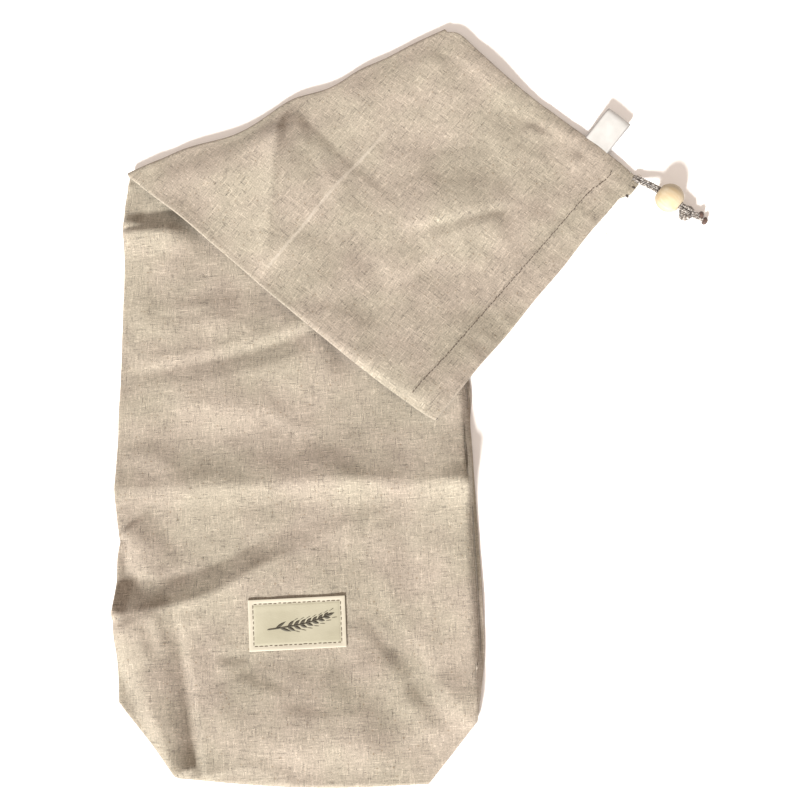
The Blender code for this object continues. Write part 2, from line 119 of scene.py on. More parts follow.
# Creases. Each has a crest through its own points, which run up the bag or to the right,
# and falls away to the left and to the right of that line. A pair of numbers is for the
# crease's start and its end. A round flank is soft at both ends, a sharp one has a keen
# crest, a full one a keen foot, and a straight one both.
# name, points, height, left reach, left flank, right reach, right flank, fades
LOWER_CREASES = (
    ("ridge below the recess, broad",
     ((-140, 399), (-105, 399), (-84, 398.4), (-64, 396)),
     (6.2, 5.4), (15, 25), "straight", (66, 60), "sharp", (22, 30)),
    ("ridge below the recess, keen",
     ((-140, 399.5), (-105, 399.5), (-84, 398.9), (-64, 396.5)),
     (6.2, 5.0), (12, 24), "straight", (19, 19), "round", (40, 28)),
    ("facet in the recess", ((-123, 404), (-124.5, 424), (-124, 442)),
     (3.2, 2.4), (4, 4), "round", (13, 11), "straight", (4, 3)),
    ("lip of the fold", ((-126, 441), (-112, 449), (-84, 461)),
     (3.4, 2.6), (10, 10), "round", (11, 15), "straight", (3, 22)),
    ("above the long crease, lip",
     ((-133, 297), (-97, 301.5), (-68, 306), (-31, 313), (6, 323), (29, 332), (44, 338)),
     (1.0, 3.6), (34, 38), "sharp", (8, 7), "straight", (30, 24)),
    ("above the long crease, swell",
     ((-133, 300), (-97, 305), (-68, 310), (-31, 317), (6, 327), (50, 342)),
     (0.8, 1.4), (60, 70), "round", (12, 12), "straight", (20, 26)),
    ("below the long crease",
     ((-133, 275), (-97, 281), (-68, 285), (-31, 291), (6, 301), (36, 312)),
     (0.9, 5.0), (11, 18), "straight", (40, 50), "round", (20, 18)),
    ("grey band", ((-120, 331), (-83, 330), (-34, 336)),
     (2.4, 2.2), (24, 20), "straight", (24, 20), "round", (14, 18)),
    ("line in the grey band", ((-104, 341), (-83, 341), (-36, 344)),
     (0.6, 0.5), (5, 5), "straight", (8, 8), "round", (10, 12)),
    ("swell in the middle", ((-92, 266), (-52, 263), (-18, 258), (30, 262)),
     (2.8, 1.4), (26, 28), "round", (30, 28), "sharp", (22, 40)),
    ("grey above the crosswise crease", ((-70, 209), (-30, 208), (30, 209), (84, 207)),
     (1.5, 1.8), (34, 36), "straight", (12, 12), "round", (24, 24)),
    ("dark by the right edge", ((98, 204), (112, 203), (128, 201)),
     (2.2, 3.4), (12, 13), "straight", (12, 12), "round", (12, 1)),
    ("left of the middle", ((-124, 233), (-103, 228), (-76, 217)),
     (1.8, 1.6), (11, 11), "straight", (14, 14), "round", (8, 14)),
    ("grey above the pinch", ((-131, 186), (-116, 176), (-96, 158)),
     (1.6, 1.6), (20, 20), "straight", (12, 12), "round", (3, 16)),
    ("left hollow", ((-131, 262), (-112, 258), (-100, 256)),
     (1.6, 1.2), (26, 20), "round", (20, 20), "round", (4, 10)),
    ("faint curve", ((-20, 260), (2, 245.5), (12, 244), (24, 247)),
     (0.9, 0.9), (12, 12), "round", (4.5, 4.5), "straight", (8, 8)),
    ("crosswise crease, broad",
     CROSSWISE_LINE, (3.2, 3.0), (38, 46), "straight", (40, 40), "sharp", (1, 1)),
    ("crosswise crease, keen",
     CROSSWISE_LINE, (2.2, 2.8), (26, 34), "round", (13, 14), "straight", (1, 1)),
    ("above the crosswise crease, left", ((-98, 211), (-76, 210), (-52, 209)),
     (1.1, 1.0), (10, 10), "straight", (14, 14), "round", (10, 14)),
    ("above the crosswise crease, right", ((14, 209), (34, 208), (56, 207)),
     (0.7, 0.6), (11, 11), "straight", (12, 12), "round", (10, 14)),
    ("below the crosswise crease", ((50, 184), (80, 182), (116, 180)),
     (1.2, 1.4), (16, 16), "round", (40, 40), "sharp", (24, 12)),
    ("bright at the crosswise crease, right", ((20, 206), (70, 202), (126, 198)),
     (0.7, 1.0), (12, 12), "round", (16, 18), "straight", (24, 1)),
    ("belly ridge, near",
     ((-136, 118), (-129, 118), (-103, 120), (-80, 123), (-46, 135), (-24, 147), (6, 160)),
     (6.0, 6.4), (23, 15), "straight", (48, 40), "sharp", (4, 50)),
    ("belly ridge, far",
     ((-136, 118), (-129, 118), (-103, 120), (-80, 123), (-46, 135), (-24, 147), (3, 159),
      (32, 171), (52, 179), (84, 190)),
     (5.6, 0.9), (25, 9), "straight", (84, 40), "sharp", (4, 50)),
    ("edge below the pinch", ((-131, 112), (-130.5, 134), (-128.6, 150), (-125, 169)),
     (7.4, 3.6), (6, 6), "round", (14, 5), "straight", (6, 3)),
    ("band beside the pinch", ((-124, 178), (-115, 164), (-104, 148), (-92, 135)),
     (4.0, 3.6), (26, 22), "straight", (9, 14), "straight", (5, 12)),
    ("corner puff", ((-122, 118), (-106, 74), (-93, 38), (-82, 6)),
     (5.6, 8.8), (36, 12), "full", (20, 12), "round", (12, 3)),
    ("beside the corner crease", ((-62, 4), (-67, 44), (-73.5, 85), (-80, 118)),
     (3.0, 1.8), (4.5, 5), "straight", (40, 34), "round", (3, 8)),
    ("dimple", ((-91.5, 88), (-94.5, 106), (-100, 119)),
     (1.5, 1.5), (13, 13), "round", (4, 4), "straight", (8, 7)),
    ("second dimple", ((-101, 80), (-106, 96), (-108, 110)),
     (1.6, 1.6), (9, 9), "round", (6, 6), "straight", (8, 7)),
    ("below the patch", ((-70, 64), (-45, 58), (-22, 51), (4, 45), (40, 42), (70, 42)),
     (4.2, 4.8), (24, 42), "straight", (46, 44), "round", (22, 30)),
    ("below the patch, keen", ((-52, 73), (-36, 68), (-16, 61), (-2, 58)),
     (1.3, 1.1), (8, 5), "straight", (14, 14), "round", (8, 8)),
    ("at the patch's corner", ((-60, 82), (-48, 80.5), (-34, 80)),
     (1.7, 1.4), (5, 4), "straight", (12, 12), "round", (7, 6)),
    ("left of the patch", ((-64, 96), (-50, 94), (-34, 96)),
     (1.6, 1.6), (18, 18), "straight", (16, 16), "round", (10, 10)),
    ("left of the slanting valley",
     ((90, 24), (77, 47), (71, 67), (61, 81), (50, 94), (33, 122)),
     (2.4, 1.6), (34, 30), "round", (11, 6), "straight", (12, 34)),
    ("right of the slanting valley",
     ((111, 36), (99, 58), (93, 80), (83, 95), (71, 110), (54, 138)),
     (1.6, 1.2), (8, 5), "straight", (30, 30), "round", (12, 34)),
    ("under the patch's right end", ((30, 80), (56, 76), (82, 66)),
     (1.8, 2.2), (12, 14), "straight", (20, 20), "round", (14, 18)),
    ("by the right corner", ((74, 60), (90, 40), (104, 20)),
     (2.6, 2.6), (14, 16), "straight", (15, 14), "round", (14, 12)),
    ("into the right corner", ((92, 70), (108, 52), (122, 36)),
     (2.6, 3.0), (16, 14), "straight", (18, 18), "round", (16, 3)),
    ("bright bottom", ((-62, 46), (-20, 43), (20, 42), (64, 42)),
     (1.6, 1.6), (38, 38), "sharp", (44, 44), "straight", (20, 24)),
    ("bottom wrinkle", ((-46, 12.5), (-26, 10.5), (-2, 1)),
     (1.3, 1.2), (8, 7), "straight", (14, 12), "round", (8, 8)),
    ("bottom swell", ((-58, 20), (0, 26), (70, 18)),
     (2.0, 2.0), (26, 26), "round", (22, 22), "round", (24, 24)),
    ("lengthwise line", ((97, 66), (92, 130), (88, 196)),
     (0.8, 0.8), (22, 22), "round", (7, 7), "straight", (30, 20)),
    ("grey above the patch", ((60, 122), (64, 150), (66, 182)),
     (1.8, 1.8), (20, 20), "round", (14, 14), "straight", (22, 22)),
)
UPPER_CREASES = (
    ("pleat, broad", ((-23, 352), (-19, 370), (-15, 399), (-10, 438), (-5.5, 471), (0.5, 503)),
     (3.0, 9.4), (46, 40), "sharp", (64, 13), "straight", (44, 2)),
    ("pleat, keen", ((-21, 362), (-19, 370), (-15, 399), (-10, 438), (-5.5, 471), (0.5, 503)),
     (1.5, 2.6), (9, 9), "round", (2.6, 3.6), "straight", (4, 2)),
    ("facet by the pleat", ((1, 494), (24, 455), (46, 419), (66, 390)),
     (1.0, 4.6), (5, 34), "straight", (40, 62), "round", (6, 66)),
    ("left of the pleat", ((-112, 432), (-66, 451), (-28, 467), (4, 480)),
     (3.0, 4.4), (20, 24), "round", (50, 76), "straight", (26, 26)),
    ("pressed crease", ((-20, 368), (8, 401), (32, 427), (58, 456), (85, 486)),
     (1.1, 1.0), (14, 12), "sharp", (3, 3), "straight", (4, 30)),
    ("slanting crease", ((4, 494), (24, 469), (44, 446), (66, 428), (90, 408)),
     (0.7, 0.6), (5, 4.5), "straight", (26, 22), "round", (10, 26)),
    ("above the valley", ((72, 395), (94, 398.5), (122, 404), (148, 409.5), (172, 417)),
     (1.9, 2.1), (40, 44), "round", (5, 5), "straight", (30, 14)),
    ("dark swell", ((64, 417), (96, 415), (124, 415), (168, 419)),
     (4.4, 4.0), (46, 42), "straight", (44, 40), "round", (44, 46)),
    ("below the valley", ((96, 382), (119, 388), (142, 395), (168, 405)),
     (2.2, 3.4), (10, 8), "straight", (34, 34), "round", (22, 16)),
    ("right swell", ((150, 372), (176, 392), (196, 410)),
     (2.0, 2.0), (22, 22), "round", (24, 24), "sharp", (18, 18)),
    ("upper swell", ((34, 500), (84, 521), (124, 540)),
     (3.6, 3.0), (34, 34), "round", (70, 52), "sharp", (28, 14)),
    ("bright field by the ribbon", ((140, 470), (176, 456), (206, 436)),
     (1.6, 1.3), (28, 26), "round", (44, 40), "sharp", (26, 20)),
    ("dark field in the middle", ((6, 350), (40, 362), (66, 372)),
     (2.2, 2.2), (38, 38), "straight", (24, 24), "round", (24, 24)),
    ("line over the corner", ((136, 328), (134, 360), (133, 392)),
     (0.9, 0.9), (12, 12), "round", (5, 5), "straight", (12, 12)),
    ("lower left swell", ((-26, 356), (7, 330), (52, 293), (96, 259)),
     (1.8, 3.0), (46, 30), "round", (12, 9), "sharp", (30, 3)),
    ("dim crease", ((70, 352), (96, 368), (122, 384)),
     (1.6, 1.6), (22, 22), "round", (9, 9), "round", (16, 16)),
    ("by the lower edge", ((40, 318), (58, 320), (78, 317)),
     (0.4, 0.4), (5, 5), "straight", (12, 12), "round", (10, 12)),
    ("inside the side seam", ((124, 548), (153, 519.5), (178, 495), (212, 470), (244, 442)),
     (0.9, 0.8), (14, 13), "straight", (8, 7), "round", (8, 10)),
    ("by the ribbon", ((184, 478), (198, 463)),
     (2.0, 2.0), (7, 7), "straight", (16, 16), "round", (7, 7)),
    ("between the seam and the hem", ((214, 452), (226, 440)),
     (1.4, 1.4), (9, 9), "round", (10, 10), "round", (7, 7)),
)
FLANKS = {
    "round": lambda share: share * share * (3 - 2 * share),
    "sharp": lambda share: share * share,
    "full": lambda share: 2 * share - share * share,
    "straight": lambda share: share,
}
# Puckers across the hem, at shares of the mouth's length: name, share, length, height, slant
HEM_PUCKERS = (
    ("near the corner", 0.06, 16, 0.55, 8),
    ("first", 0.13, 12, 0.40, -3),
    ("second", 0.22, 19, 0.55, 5),
    ("third", 0.30, 13, 0.35, -4),
    ("fourth", 0.37, 20, 0.60, 6),
    ("fifth", 0.46, 15, 0.45, 2),
    ("sixth", 0.55, 21, 0.70, 9),
    ("seventh", 0.62, 14, 0.40, -5),
    ("eighth", 0.71, 19, 0.65, 7),
    ("ninth", 0.79, 16, 0.50, 3),
    ("by the cord", 0.88, 21, 0.80, 8),
    ("last", 0.95, 15, 0.60, -4),
)
# Long, low waves that keep the cloth from lying dead flat: length, direction, height, phase
WAVES = (
    (131.0, 0.3, 0.50, 0.4), (97.0, 1.9, 0.45, 2.1), (74.0, 2.7, 0.36, 4.0),
    (58.0, 0.9, 0.30, 1.2), (46.0, 2.2, 0.24, 5.3), (37.0, 1.4, 0.18, 3.3),
    (27.0, 0.1, 0.12, 0.9), (21.0, 1.1, 0.085, 2.6), (16.5, 2.5, 0.060, 4.4),
    (12.5, 1.8, 0.036, 1.7), (9.8, 0.5, 0.024, 5.0),
)
HEM_FLARE = 5.2  # the hem's open end stands out from the mouth by this
HEM_FLARE_START = 0.905  # from this share of the mouth's length
HEM_FLARE_RUN = 0.045
HEM_WAVER = 0.35  # the mouth's edge wanders by this
HEM_WAVER_TURNS = 23
HEM_TURN = 0.42  # radius in which the hem turns in
HEM_ROWS = (1.5, 4.0, 8.0, 13.0, 18.0, HEM_DEPTH - 1.5)
HEM_LINE = ((87.5, 266.5), (97, 277), (116.8, 297.3), (156.1, 341.1), (196.3, 384.4), (225, 416))
HEM_RETURN = ((225, 416), (231, 421.4), (242, 429), (247.5, 436))
PUCKER_REACH = 7.5
STITCH_PULL = 0.45  # the line of stitches draws the cloth in by this
STITCH_PULL_REACH = 2.2

EDGE_REACH = 30.0  # the back panel rises with the front one this near to the left edge
EDGE_SHARE = 0.85  # by this share
AIR = 0.3  # least air between two sheets
# The flap: how it leaves the fold, settles on what is under it and drops to its right seam
FLAP_LOOSE = 120.0
FLAP_SWELL = 1.1
FLAP_SWELL_LENGTH = 60.0
FLAP_CREASES_START = 26.0
FLAP_SEAM_DROP = 0.7
FLAP_SEAM_REACH = 6.0
FLAP_SEAM_START = 30.0
DRAPE_START = 129.0
DRAPE_LENGTH = 84.0
UPPER_LIFT = 0.8
LOWER_STACK = 2.7
FLOOR_LIFT = 2.6
# The upper run rests on the lower one's relief, grown and smoothed by so many cells
BRIDGE_CELL = 3.0
BRIDGE_GROW = 3
BRIDGE_BLUR = 4
BRIDGE_AREA = (-140.0, 200.0, 580.0)  # left, bottom and top of what the flap may cover

# The raised right side: its crest and wall, and where up the bag it rises and ends
RIGHT_LIFT = 10.4
RIGHT_CREST = 123.6
RIGHT_WALL = 6.0
RIGHT_WALL_ROUND = 1.9
RIGHT_SLOPE = 50.0
RIGHT_SLOPE_ROUND = 1.2
RIGHT_RISE = (-34.0, 136.0)
RIGHT_END = (346.0, 90.0)
RIGHT_CREASE = (196.0, 22.0, 1.4)  # the crosswise crease: place, reach and extra height

SEAM_ROUND = 3.2  # the two panels close on each other this near to a sewn edge
SEAM_GAP = 0.66  # and then their middles are this far apart

COLUMNS = 130
EDGE_COLUMNS = (0.0022, 0.0045, 0.0068, 0.0115, 0.0165, 0.0225)
ROW_PITCH = 2.55
BEND_STEPS = 14
FRONT_BEND = BEND - 2.2 * BEND_SHEET
BACK_BEND = BEND - 0.5 * BEND_SHEET
FOLD_INSIDE = 2 * BEND - 2 * BEND_SHEET - 0.7  # height at which the front panel leaves the fold

# The weave and its map
CLOTH_MAP = "cloth"
MAP_START = np.array([200.0, 20.0])  # keeps the map's places above zero
YARN = 0.00078  # pitch of the linen's yarns
SLUB_LENGTH = 0.0065
PALE_CREASE = ((-18.0, 367.0), (87.0, 488.0))  # paler along its ridge

# The patch: the groove of its stitches, the places where it touches the cloth, its cells
PATCH_INSET = 3.3
PATCH_GROOVE = (0.34, 0.55)  # depth and half width
PATCH_TOUCHES = (8, 4)
PATCH_CELLS = (60, 32)
# The ear of wheat: its stem, and (point of the stem, heading, length) of its two lowest leaves
EAR_STEM = ((-21.0, -3.4), (-10.0, -2.4), (2.0, -0.9), (12.0, 1.2), (20.5, 4.0))
EAR_LEAVES = ((5, 0.55, 9.0), (8, -0.32, 8.4))
EAR_PAIRS = 7

# Care ribbon
RIBBON_WIDTH = 21.0
RIBBON_ROOT = (237.0, 457.6)
RIBBON_RUN = (
    (-3.0, 4.2), (0.5, 4.7), (7.0, 6.0), (14.0, 7.8), (20.0, 9.3), (24.6, 10.1), (27.6, 9.4),
    (29.2, 7.6), (28.6, 6.2), (25.0, 6.0), (20.0, 6.0), (14.0, 5.2), (7.0, 4.0), (0.5, 3.4),
    (-3.0, 3.2),
)

# Drawstring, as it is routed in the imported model: x, y, z of the middle of the pair
STRAND = 2.6
STRAND_PITCH = 3.0
STRAND_START = (263.6, 430.4, 4.2)  # inside the hem
STRAND_POINTS = 90
HIDDEN_POINTS = 6
BRAID_PITCH = 0.0036
BRAID_TURN = 2 * math.pi / (BRAID_PITCH * 1.33)
DRAWSTRING_ROUTE = (
    (266.6, 428.4, 4.6),
    (269.8, 425.8, 5.6),
    (274.6, 421.8, 8.0),
    (279.8, 417.0, 10.2),
    (287.6, 409.9, 10.7),
    (295.5, 403.6, 10.0),
    (303.0, 399.6, 7.6),
)
# The knot: its middle, its turns of cord (angle, size, phase) and its two melted tips
KNOT_CENTRE = (300.6, 399.8, 4.9)
KNOT_YARN = 2.0
KNOT_COILS = ((0.0, 1.42, 0.0), (0.9, 1.3, 1.4), (2.0, 0.9, 0.6))
KNOT_TIPS = ((312.0, 397.8, 3.8), (314.6, 393.4, 2.9))
KNOT_SHAPE = (0.92, 1.12, 1.25)  # how far its turns are pulled along, across and up
KNOT_POINTS = 73
TIP_SHAPE = (2.2, 2.9, 2.7)  # a melted tip: half its length, width and height
BEAD_DIAMETER = 21.4
BEAD_BORE = 7.2
BEAD_LENGTH = 19.0
BEAD_CENTRE = (287.6, 409.9)
BEAD_DIRECTION = (0.745, -0.667, 0.0)
BEAD_RIM = 0.6

# Painted shade in the hem's openings: middle, run and width of each dark piece
HEM_OPENING_SHADES = (
    ((262.6, 421.8, 4.6), (3.0, -1.4), 1.9),
    ((257.0, 415.4, 4.8), (2.0, -2.8), 2.2),
    ((104.2, 247.2, 13.6), (2.2, 1.4), 1.8),
)
LOOSE_THREADS = (
    ((262.6, 427.4, 4.4), (265.4, 427.2, 4.6), (268.0, 425.4, 3.6), (269.4, 422.8, 2.2)),
    ((261.2, 425.6, 4.3), (263.8, 424.6, 4.0), (265.0, 422.0, 2.6)),
    ((264.4, 430.2, 4.8), (267.4, 431.8, 5.2), (269.6, 431.0, 4.8)),
    ((252.4, 416.2, 4.0), (256.0, 413.6, 3.8), (258.8, 413.8, 3.0), (261.0, 412.0, 1.6)),
    ((244.0, 407.6, 3.6), (247.4, 402.4, 3.6), (246.0, 398.0, 2.4), (243.6, 393.2, 1.0)),
    ((237.6, 400.2, 3.4), (241.0, 396.6, 3.4), (241.6, 390.0, 2.4), (238.4, 385.0, 1.0)),
    ((232.0, 393.6, 3.4), (236.4, 391.4, 3.0), (238.8, 393.8, 2.0)),
    ((206.0, 362.6, 3.2), (209.0, 360.4, 2.8), (209.6, 357.4, 1.6)),
)

COLOURS = {
    "linen, green side": (0.284, 0.256, 0.204),
    "linen, pink side": (0.292, 0.254, 0.209),
    "worn linen": (0.47, 0.43, 0.37),
    "fleck": (0.16, 0.115, 0.07),
    "leather face, deep": (0.300, 0.286, 0.212),
    "leather face, pale": (0.335, 0.320, 0.243),
    # the patch's rim, painted paler as a highlight
    "leather rim, deep": (0.40, 0.375, 0.30),
    "leather rim, pale": (0.43, 0.405, 0.335),
    "pressed brown, deep": (0.030, 0.026, 0.017),
    "pressed brown, pale": (0.062, 0.054, 0.036),
    "satin, deep": (0.335, 0.335, 0.325),
    "satin, pale": (0.385, 0.382, 0.372),
    # painted shade along the ribbon's edges
    "satin edge": (0.24, 0.235, 0.23),
    # painted shade in the cord's crevices
    "cord gap": (0.02, 0.016, 0.012),
    "wood, deep": (0.330, 0.258, 0.158),
    "wood, pale": (0.405, 0.355, 0.265),
    "table, deep": (0.90, 0.90, 0.895),
    "table, pale": (0.92, 0.92, 0.915),
}
# The cord's yarns by turns: share and colour
CORD_YARNS = ((0.38, (0.010, 0.007, 0.006)), (0.46, (0.06, 0.045, 0.035)),
              (0.52, (0.22, 0.195, 0.17)), (0.60, (0.42, 0.40, 0.375)))
# Threads and small dark places, among them the painted shade of the hem's openings: pale and deep
# colour
THREADS = {
    "melted_brown": ((0.075, 0.038, 0.026), (0.022, 0.011, 0.008)),
    "brown_thread": ((0.085, 0.06, 0.038), (0.036, 0.024, 0.014)),
    "tan_thread": ((0.135, 0.11, 0.07), (0.07, 0.055, 0.034)),
    # painted shade in the hem's openings
    "opening_painted_shade": ((0.035, 0.024, 0.016), (0.016, 0.011, 0.008)),
    "linen_thread": ((0.26, 0.22, 0.16), (0.13, 0.10, 0.07)),
}

# The bag's place in the frame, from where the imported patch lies
_low, _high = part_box("leather_patch")
SHIFT = (
    (_low.x + _high.x) / 2 / MM - PATCH_CENTRE[0],
    (_low.y + _high.y) / 2 / MM - PATCH_CENTRE[1],
)


def world(x, y, z=0.0):
    """A place on the bag, in metres in the frame."""
    return Vector(((x + SHIFT[0]) * MM, (y + SHIFT[1]) * MM, z * MM))


# ---------------------------------------------------------------- camera, light and table
CAMERA_TARGET = (78.6, 264.7)
CAMERA_DISTANCE = 807.7
CAMERA_TILT = math.radians(12.34)
CAMERA_ROLL = math.radians(-2.26)
CAMERA_FIELD = math.radians(40.0)
LIGHT_TOWARDS = (0.40, 0.92)
LIGHT_HEIGHT = math.radians(30.0)
LIGHT_SPREAD = math.radians(9.0)
LIGHT_STRENGTH = 9.0
LIGHT_COLOUR = (1.0, 0.985, 0.96)
ROOM_STRENGTH = 0.84
ROOM_COLOUR = (1.0, 0.85, 0.75, 1.0)


def make_camera():
    data = bpy.data.cameras.new("camera")
    data.sensor_width = 36.0
    data.angle = CAMERA_FIELD
    data.clip_start = 0.01
    camera = bpy.data.objects.new("camera", data)
    bpy.context.scene.collection.objects.link(camera)
    back = Vector((0, -math.sin(CAMERA_TILT), math.cos(CAMERA_TILT)))
    camera.location = world(*CAMERA_TARGET) + back * CAMERA_DISTANCE * MM
    camera.rotation_euler = (
        Matrix.Rotation(CAMERA_TILT, 3, "X") @ Matrix.Rotation(CAMERA_ROLL, 3, "Z")
    ).to_euler()
    bpy.context.scene.camera = camera


def make_light():
    data = bpy.data.lights.new("window", "SUN")
    data.energy = LIGHT_STRENGTH
    data.color = LIGHT_COLOUR
    data.angle = LIGHT_SPREAD
    lamp = bpy.data.objects.new("window", data)
    bpy.context.scene.collection.objects.link(lamp)
    flat = Vector(LIGHT_TOWARDS).normalized() * math.cos(LIGHT_HEIGHT)
    lamp.rotation_euler = (
        Vector((flat.x, flat.y, -math.sin(LIGHT_HEIGHT))).to_track_quat("-Z", "Y").to_euler()
    )
    room = bpy.data.worlds.new("room")
    room.use_nodes = True
    sky = room.node_tree.nodes["Background"]
    sky.inputs["Color"].default_value = ROOM_COLOUR
    sky.inputs["Strength"].default_value = ROOM_STRENGTH
    bpy.context.scene.world = room
    bpy.context.scene.view_settings.view_transform = "Standard"


# ---------------------------------------------------------------- finishes
class Wire:
    """One socket of a finish, with arithmetic that adds Math nodes."""

    def __init__(self, finish, socket):
        self.finish = finish
        self.socket = socket

    def maths(self, operation, *terms):
        return self.finish.node("ShaderNodeMath", {"operation": operation}, dict(enumerate(terms)))

    def __add__(self, other):
        return self.maths("ADD", self, other)

    def __radd__(self, other):
        return self.maths("ADD", other, self)

    def __sub__(self, other):
        return self.maths("SUBTRACT", self, other)

    def __rsub__(self, other):
        return self.maths("SUBTRACT", other, self)

    def __mul__(self, other):
        return self.maths("MULTIPLY", self, other)

    def __rmul__(self, other):
        return self.maths("MULTIPLY", other, self)

    def __truediv__(self, other):
        return self.maths("DIVIDE", self, other)

    def __pow__(self, other):
        return self.maths("POWER", self, other)

    def __abs__(self):
        return self.maths("ABSOLUTE", self)

    def floor(self):
        return self.maths("FLOOR", self)

    def fraction(self):
        return self.maths("FRACT", self)

    def wave(self):
        return self.maths("SINE", self)

    def clipped(self, low, high):
        """0 at low, 1 at high, smooth between them."""
        return self.finish.node(
            "ShaderNodeMapRange",
            {"interpolation_type": "SMOOTHSTEP"},
            {"Value": self, "From Min": low, "From Max": high},
        )


class Finish:
    """A Principled material under construction."""

    def __init__(self, name, roughness, specular=0.5, sheen=0.0):
        self.material = bpy.data.materials.new(name)
        self.material.use_nodes = True
        self.tree = self.material.node_tree
        self.shader = self.tree.nodes["Principled BSDF"]
        self.shader.inputs["Roughness"].default_value = roughness
        self.shader.inputs["Specular IOR Level"].default_value = specular
        self.shader.inputs["Sheen Weight"].default_value = sheen

    def join(self, value, target):
        if isinstance(value, Wire):
            self.tree.links.new(value.socket, target)
        else:
            target.default_value = value

    def node(self, kind, settings=None, values=None, out=0):
        made = self.tree.nodes.new(kind)
        for key, value in (settings or {}).items():
            if key == "stops":
                ramp = made.color_ramp.elements
                while len(ramp) < len(value):
                    ramp.new(0.5)
                for element, (place, colour) in zip(ramp, value):
                    element.position = place
                    element.color = (*colour, 1.0)
            else:
                setattr(made, key, value)
        for key, value in (values or {}).items():
            self.join(value, made.inputs[key])
        return Wire(self, made.outputs[out])

    def place(self):
        return self.node("ShaderNodeTexCoord", out="Object")

    def flat(self):
        """The place on the piece laid flat."""
        return self.node("ShaderNodeUVMap", {"uv_map": CLOTH_MAP})

    def vector(self, x, y, z=0.0):
        return self.node("ShaderNodeCombineXYZ", {}, {0: x, 1: y, 2: z})

    def parts(self, vector):
        return [self.node("ShaderNodeSeparateXYZ", {}, {0: vector}, out=k) for k in range(3)]

    def noise(self, vector, scale, detail=2.0, roughness=0.5):
        return self.node(
            "ShaderNodeTexNoise", {},
            {"Vector": vector, "Scale": scale, "Detail": detail, "Roughness": roughness},
        )

    def blend(self, share, first, second):
        """Colour first where share is 0, second where it is 1. A colour may be its name."""
        first, second = [
            c if isinstance(c, Wire) else (*COLOURS.get(c, c), 1.0) for c in (first, second)
        ]
        return self.node(
            "ShaderNodeMix", {"data_type": "RGBA"}, {0: share, 6: first, 7: second}, out=2
        )

    def bump(self, height, distance, strength=1.0, under=None):
        values = {"Height": height, "Distance": distance, "Strength": strength}
        if under is not None:
            values["Normal"] = under
        return self.node("ShaderNodeBump", {}, values)

    def set(self, key, value):
        self.join(value, self.shader.inputs[key])


def by_line(x, y, start, direction):
    """How far places lie along a line from its start, and how far to the left of it."""
    dx, dy = x - start[0], y - start[1]
    return dx * direction[0] + dy * direction[1], dy * direction[0] - dx * direction[1]


def direction_of(start, end):
    """Direction of the line from start to end, and its length."""
    length = math.dist(start, end)
    return ((end[0] - start[0]) / length, (end[1] - start[1]) / length), length


def pale_crease_mask(cloth, start, end):
    """1 along a line on the bag, 0 away from it."""
    place = cloth.place()
    x, y, _ = cloth.parts(place)
    start, end = world(*start)[:2], world(*end)[:2]
    direction, length = direction_of(start, end)
    along, aside = by_line(x, y, start, direction)
    bent = abs(aside + (along * 60).wave() * 0.0006)
    ends = along.clipped(0.0, 0.006) * (length - along).clipped(0.0, 0.05)
    broken_up = cloth.noise(place, 160.0).clipped(0.2, 0.5)
    return (1 - bent.clipped(0.0004, 0.0016)) * ends * broken_up


def linen_finish(name, pale_line=None):
    """Plain weave of uneven flax yarns, with slubs, flecks and a faint mottling."""
    linen = Finish(name, 0.93, specular=0.25, sheen=0.1)
    flat = linen.flat()
    across, along, _ = linen.parts(flat)
    a, b = across / YARN, along / YARN
    warp, weft = a.floor(), b.floor()
    over = ((warp + weft) / 2).fraction() * 2  # 0 or 1: which yarn is on top here
    warp_round = 1 - (a.fraction() * 2 - 1) ** 2
    weft_round = 1 - (b.fraction() * 2 - 1) ** 2
    warp_tone = linen.noise(linen.vector(warp * 7.31, along / SLUB_LENGTH, 0.5), 1.0, 1.5)
    weft_tone = linen.noise(linen.vector(across / SLUB_LENGTH, weft * 5.77, 8.5), 1.0, 1.5)
    top_tone = warp_tone * over + weft_tone * (1 - over)
    slubs = warp_tone.clipped(0.62, 0.72) * 0.6 + weft_tone.clipped(0.62, 0.72) * 0.6
    thin = (1 - warp_tone.clipped(0.28, 0.38)) * 0.5 + (1 - weft_tone.clipped(0.28, 0.38)) * 0.5
    speckle = linen.noise(flat, 780.0, 1.0)
    patches = linen.noise(flat, 17.0, 3.0)
    drift = linen.noise(flat, 46.0, 2.0)
    tone = top_tone * 0.55 + speckle * 0.45
    warm = linen.blend(patches.clipped(0.36, 0.64), "linen, green side", "linen, pink side")
    value = 0.06 + tone * 1.55 + drift * 0.22 + slubs * 0.26 - thin * 0.30
    shade = linen.node("ShaderNodeHueSaturation", {}, {"Color": warm, "Value": value})
    if pale_line:
        # paler along one line: the ridge of the pressed crease, broken up by noise
        shade = linen.blend(pale_crease_mask(linen, *pale_line) * 0.34, shade, "worn linen")
    fleck = linen.noise(flat, 520.0, 0.0).clipped(0.75, 0.79)
    linen.set("Base Color", linen.blend(fleck * 0.55, shade, "fleck"))
    weave = (warp_round * over + weft_round * (1 - over)) * 0.6 + top_tone * 0.9
    grain = linen.bump(weave, 0.00016, 0.9)
    linen.set("Normal", linen.bump(linen.noise(flat, 210.0, 3.0), 0.0004, 0.35, grain))
    return linen.material


def thread_finish(name):
    pale, deep = THREADS[name]
    thread = Finish(name, 0.75, sheen=0.2)
    twist = thread.noise(thread.place(), 1400.0, 2.0)
    thread.set("Base Color", thread.blend(twist.clipped(0.35, 0.65), deep, pale))
    thread.set("Normal", thread.bump(twist, 0.0001))
    return thread.material


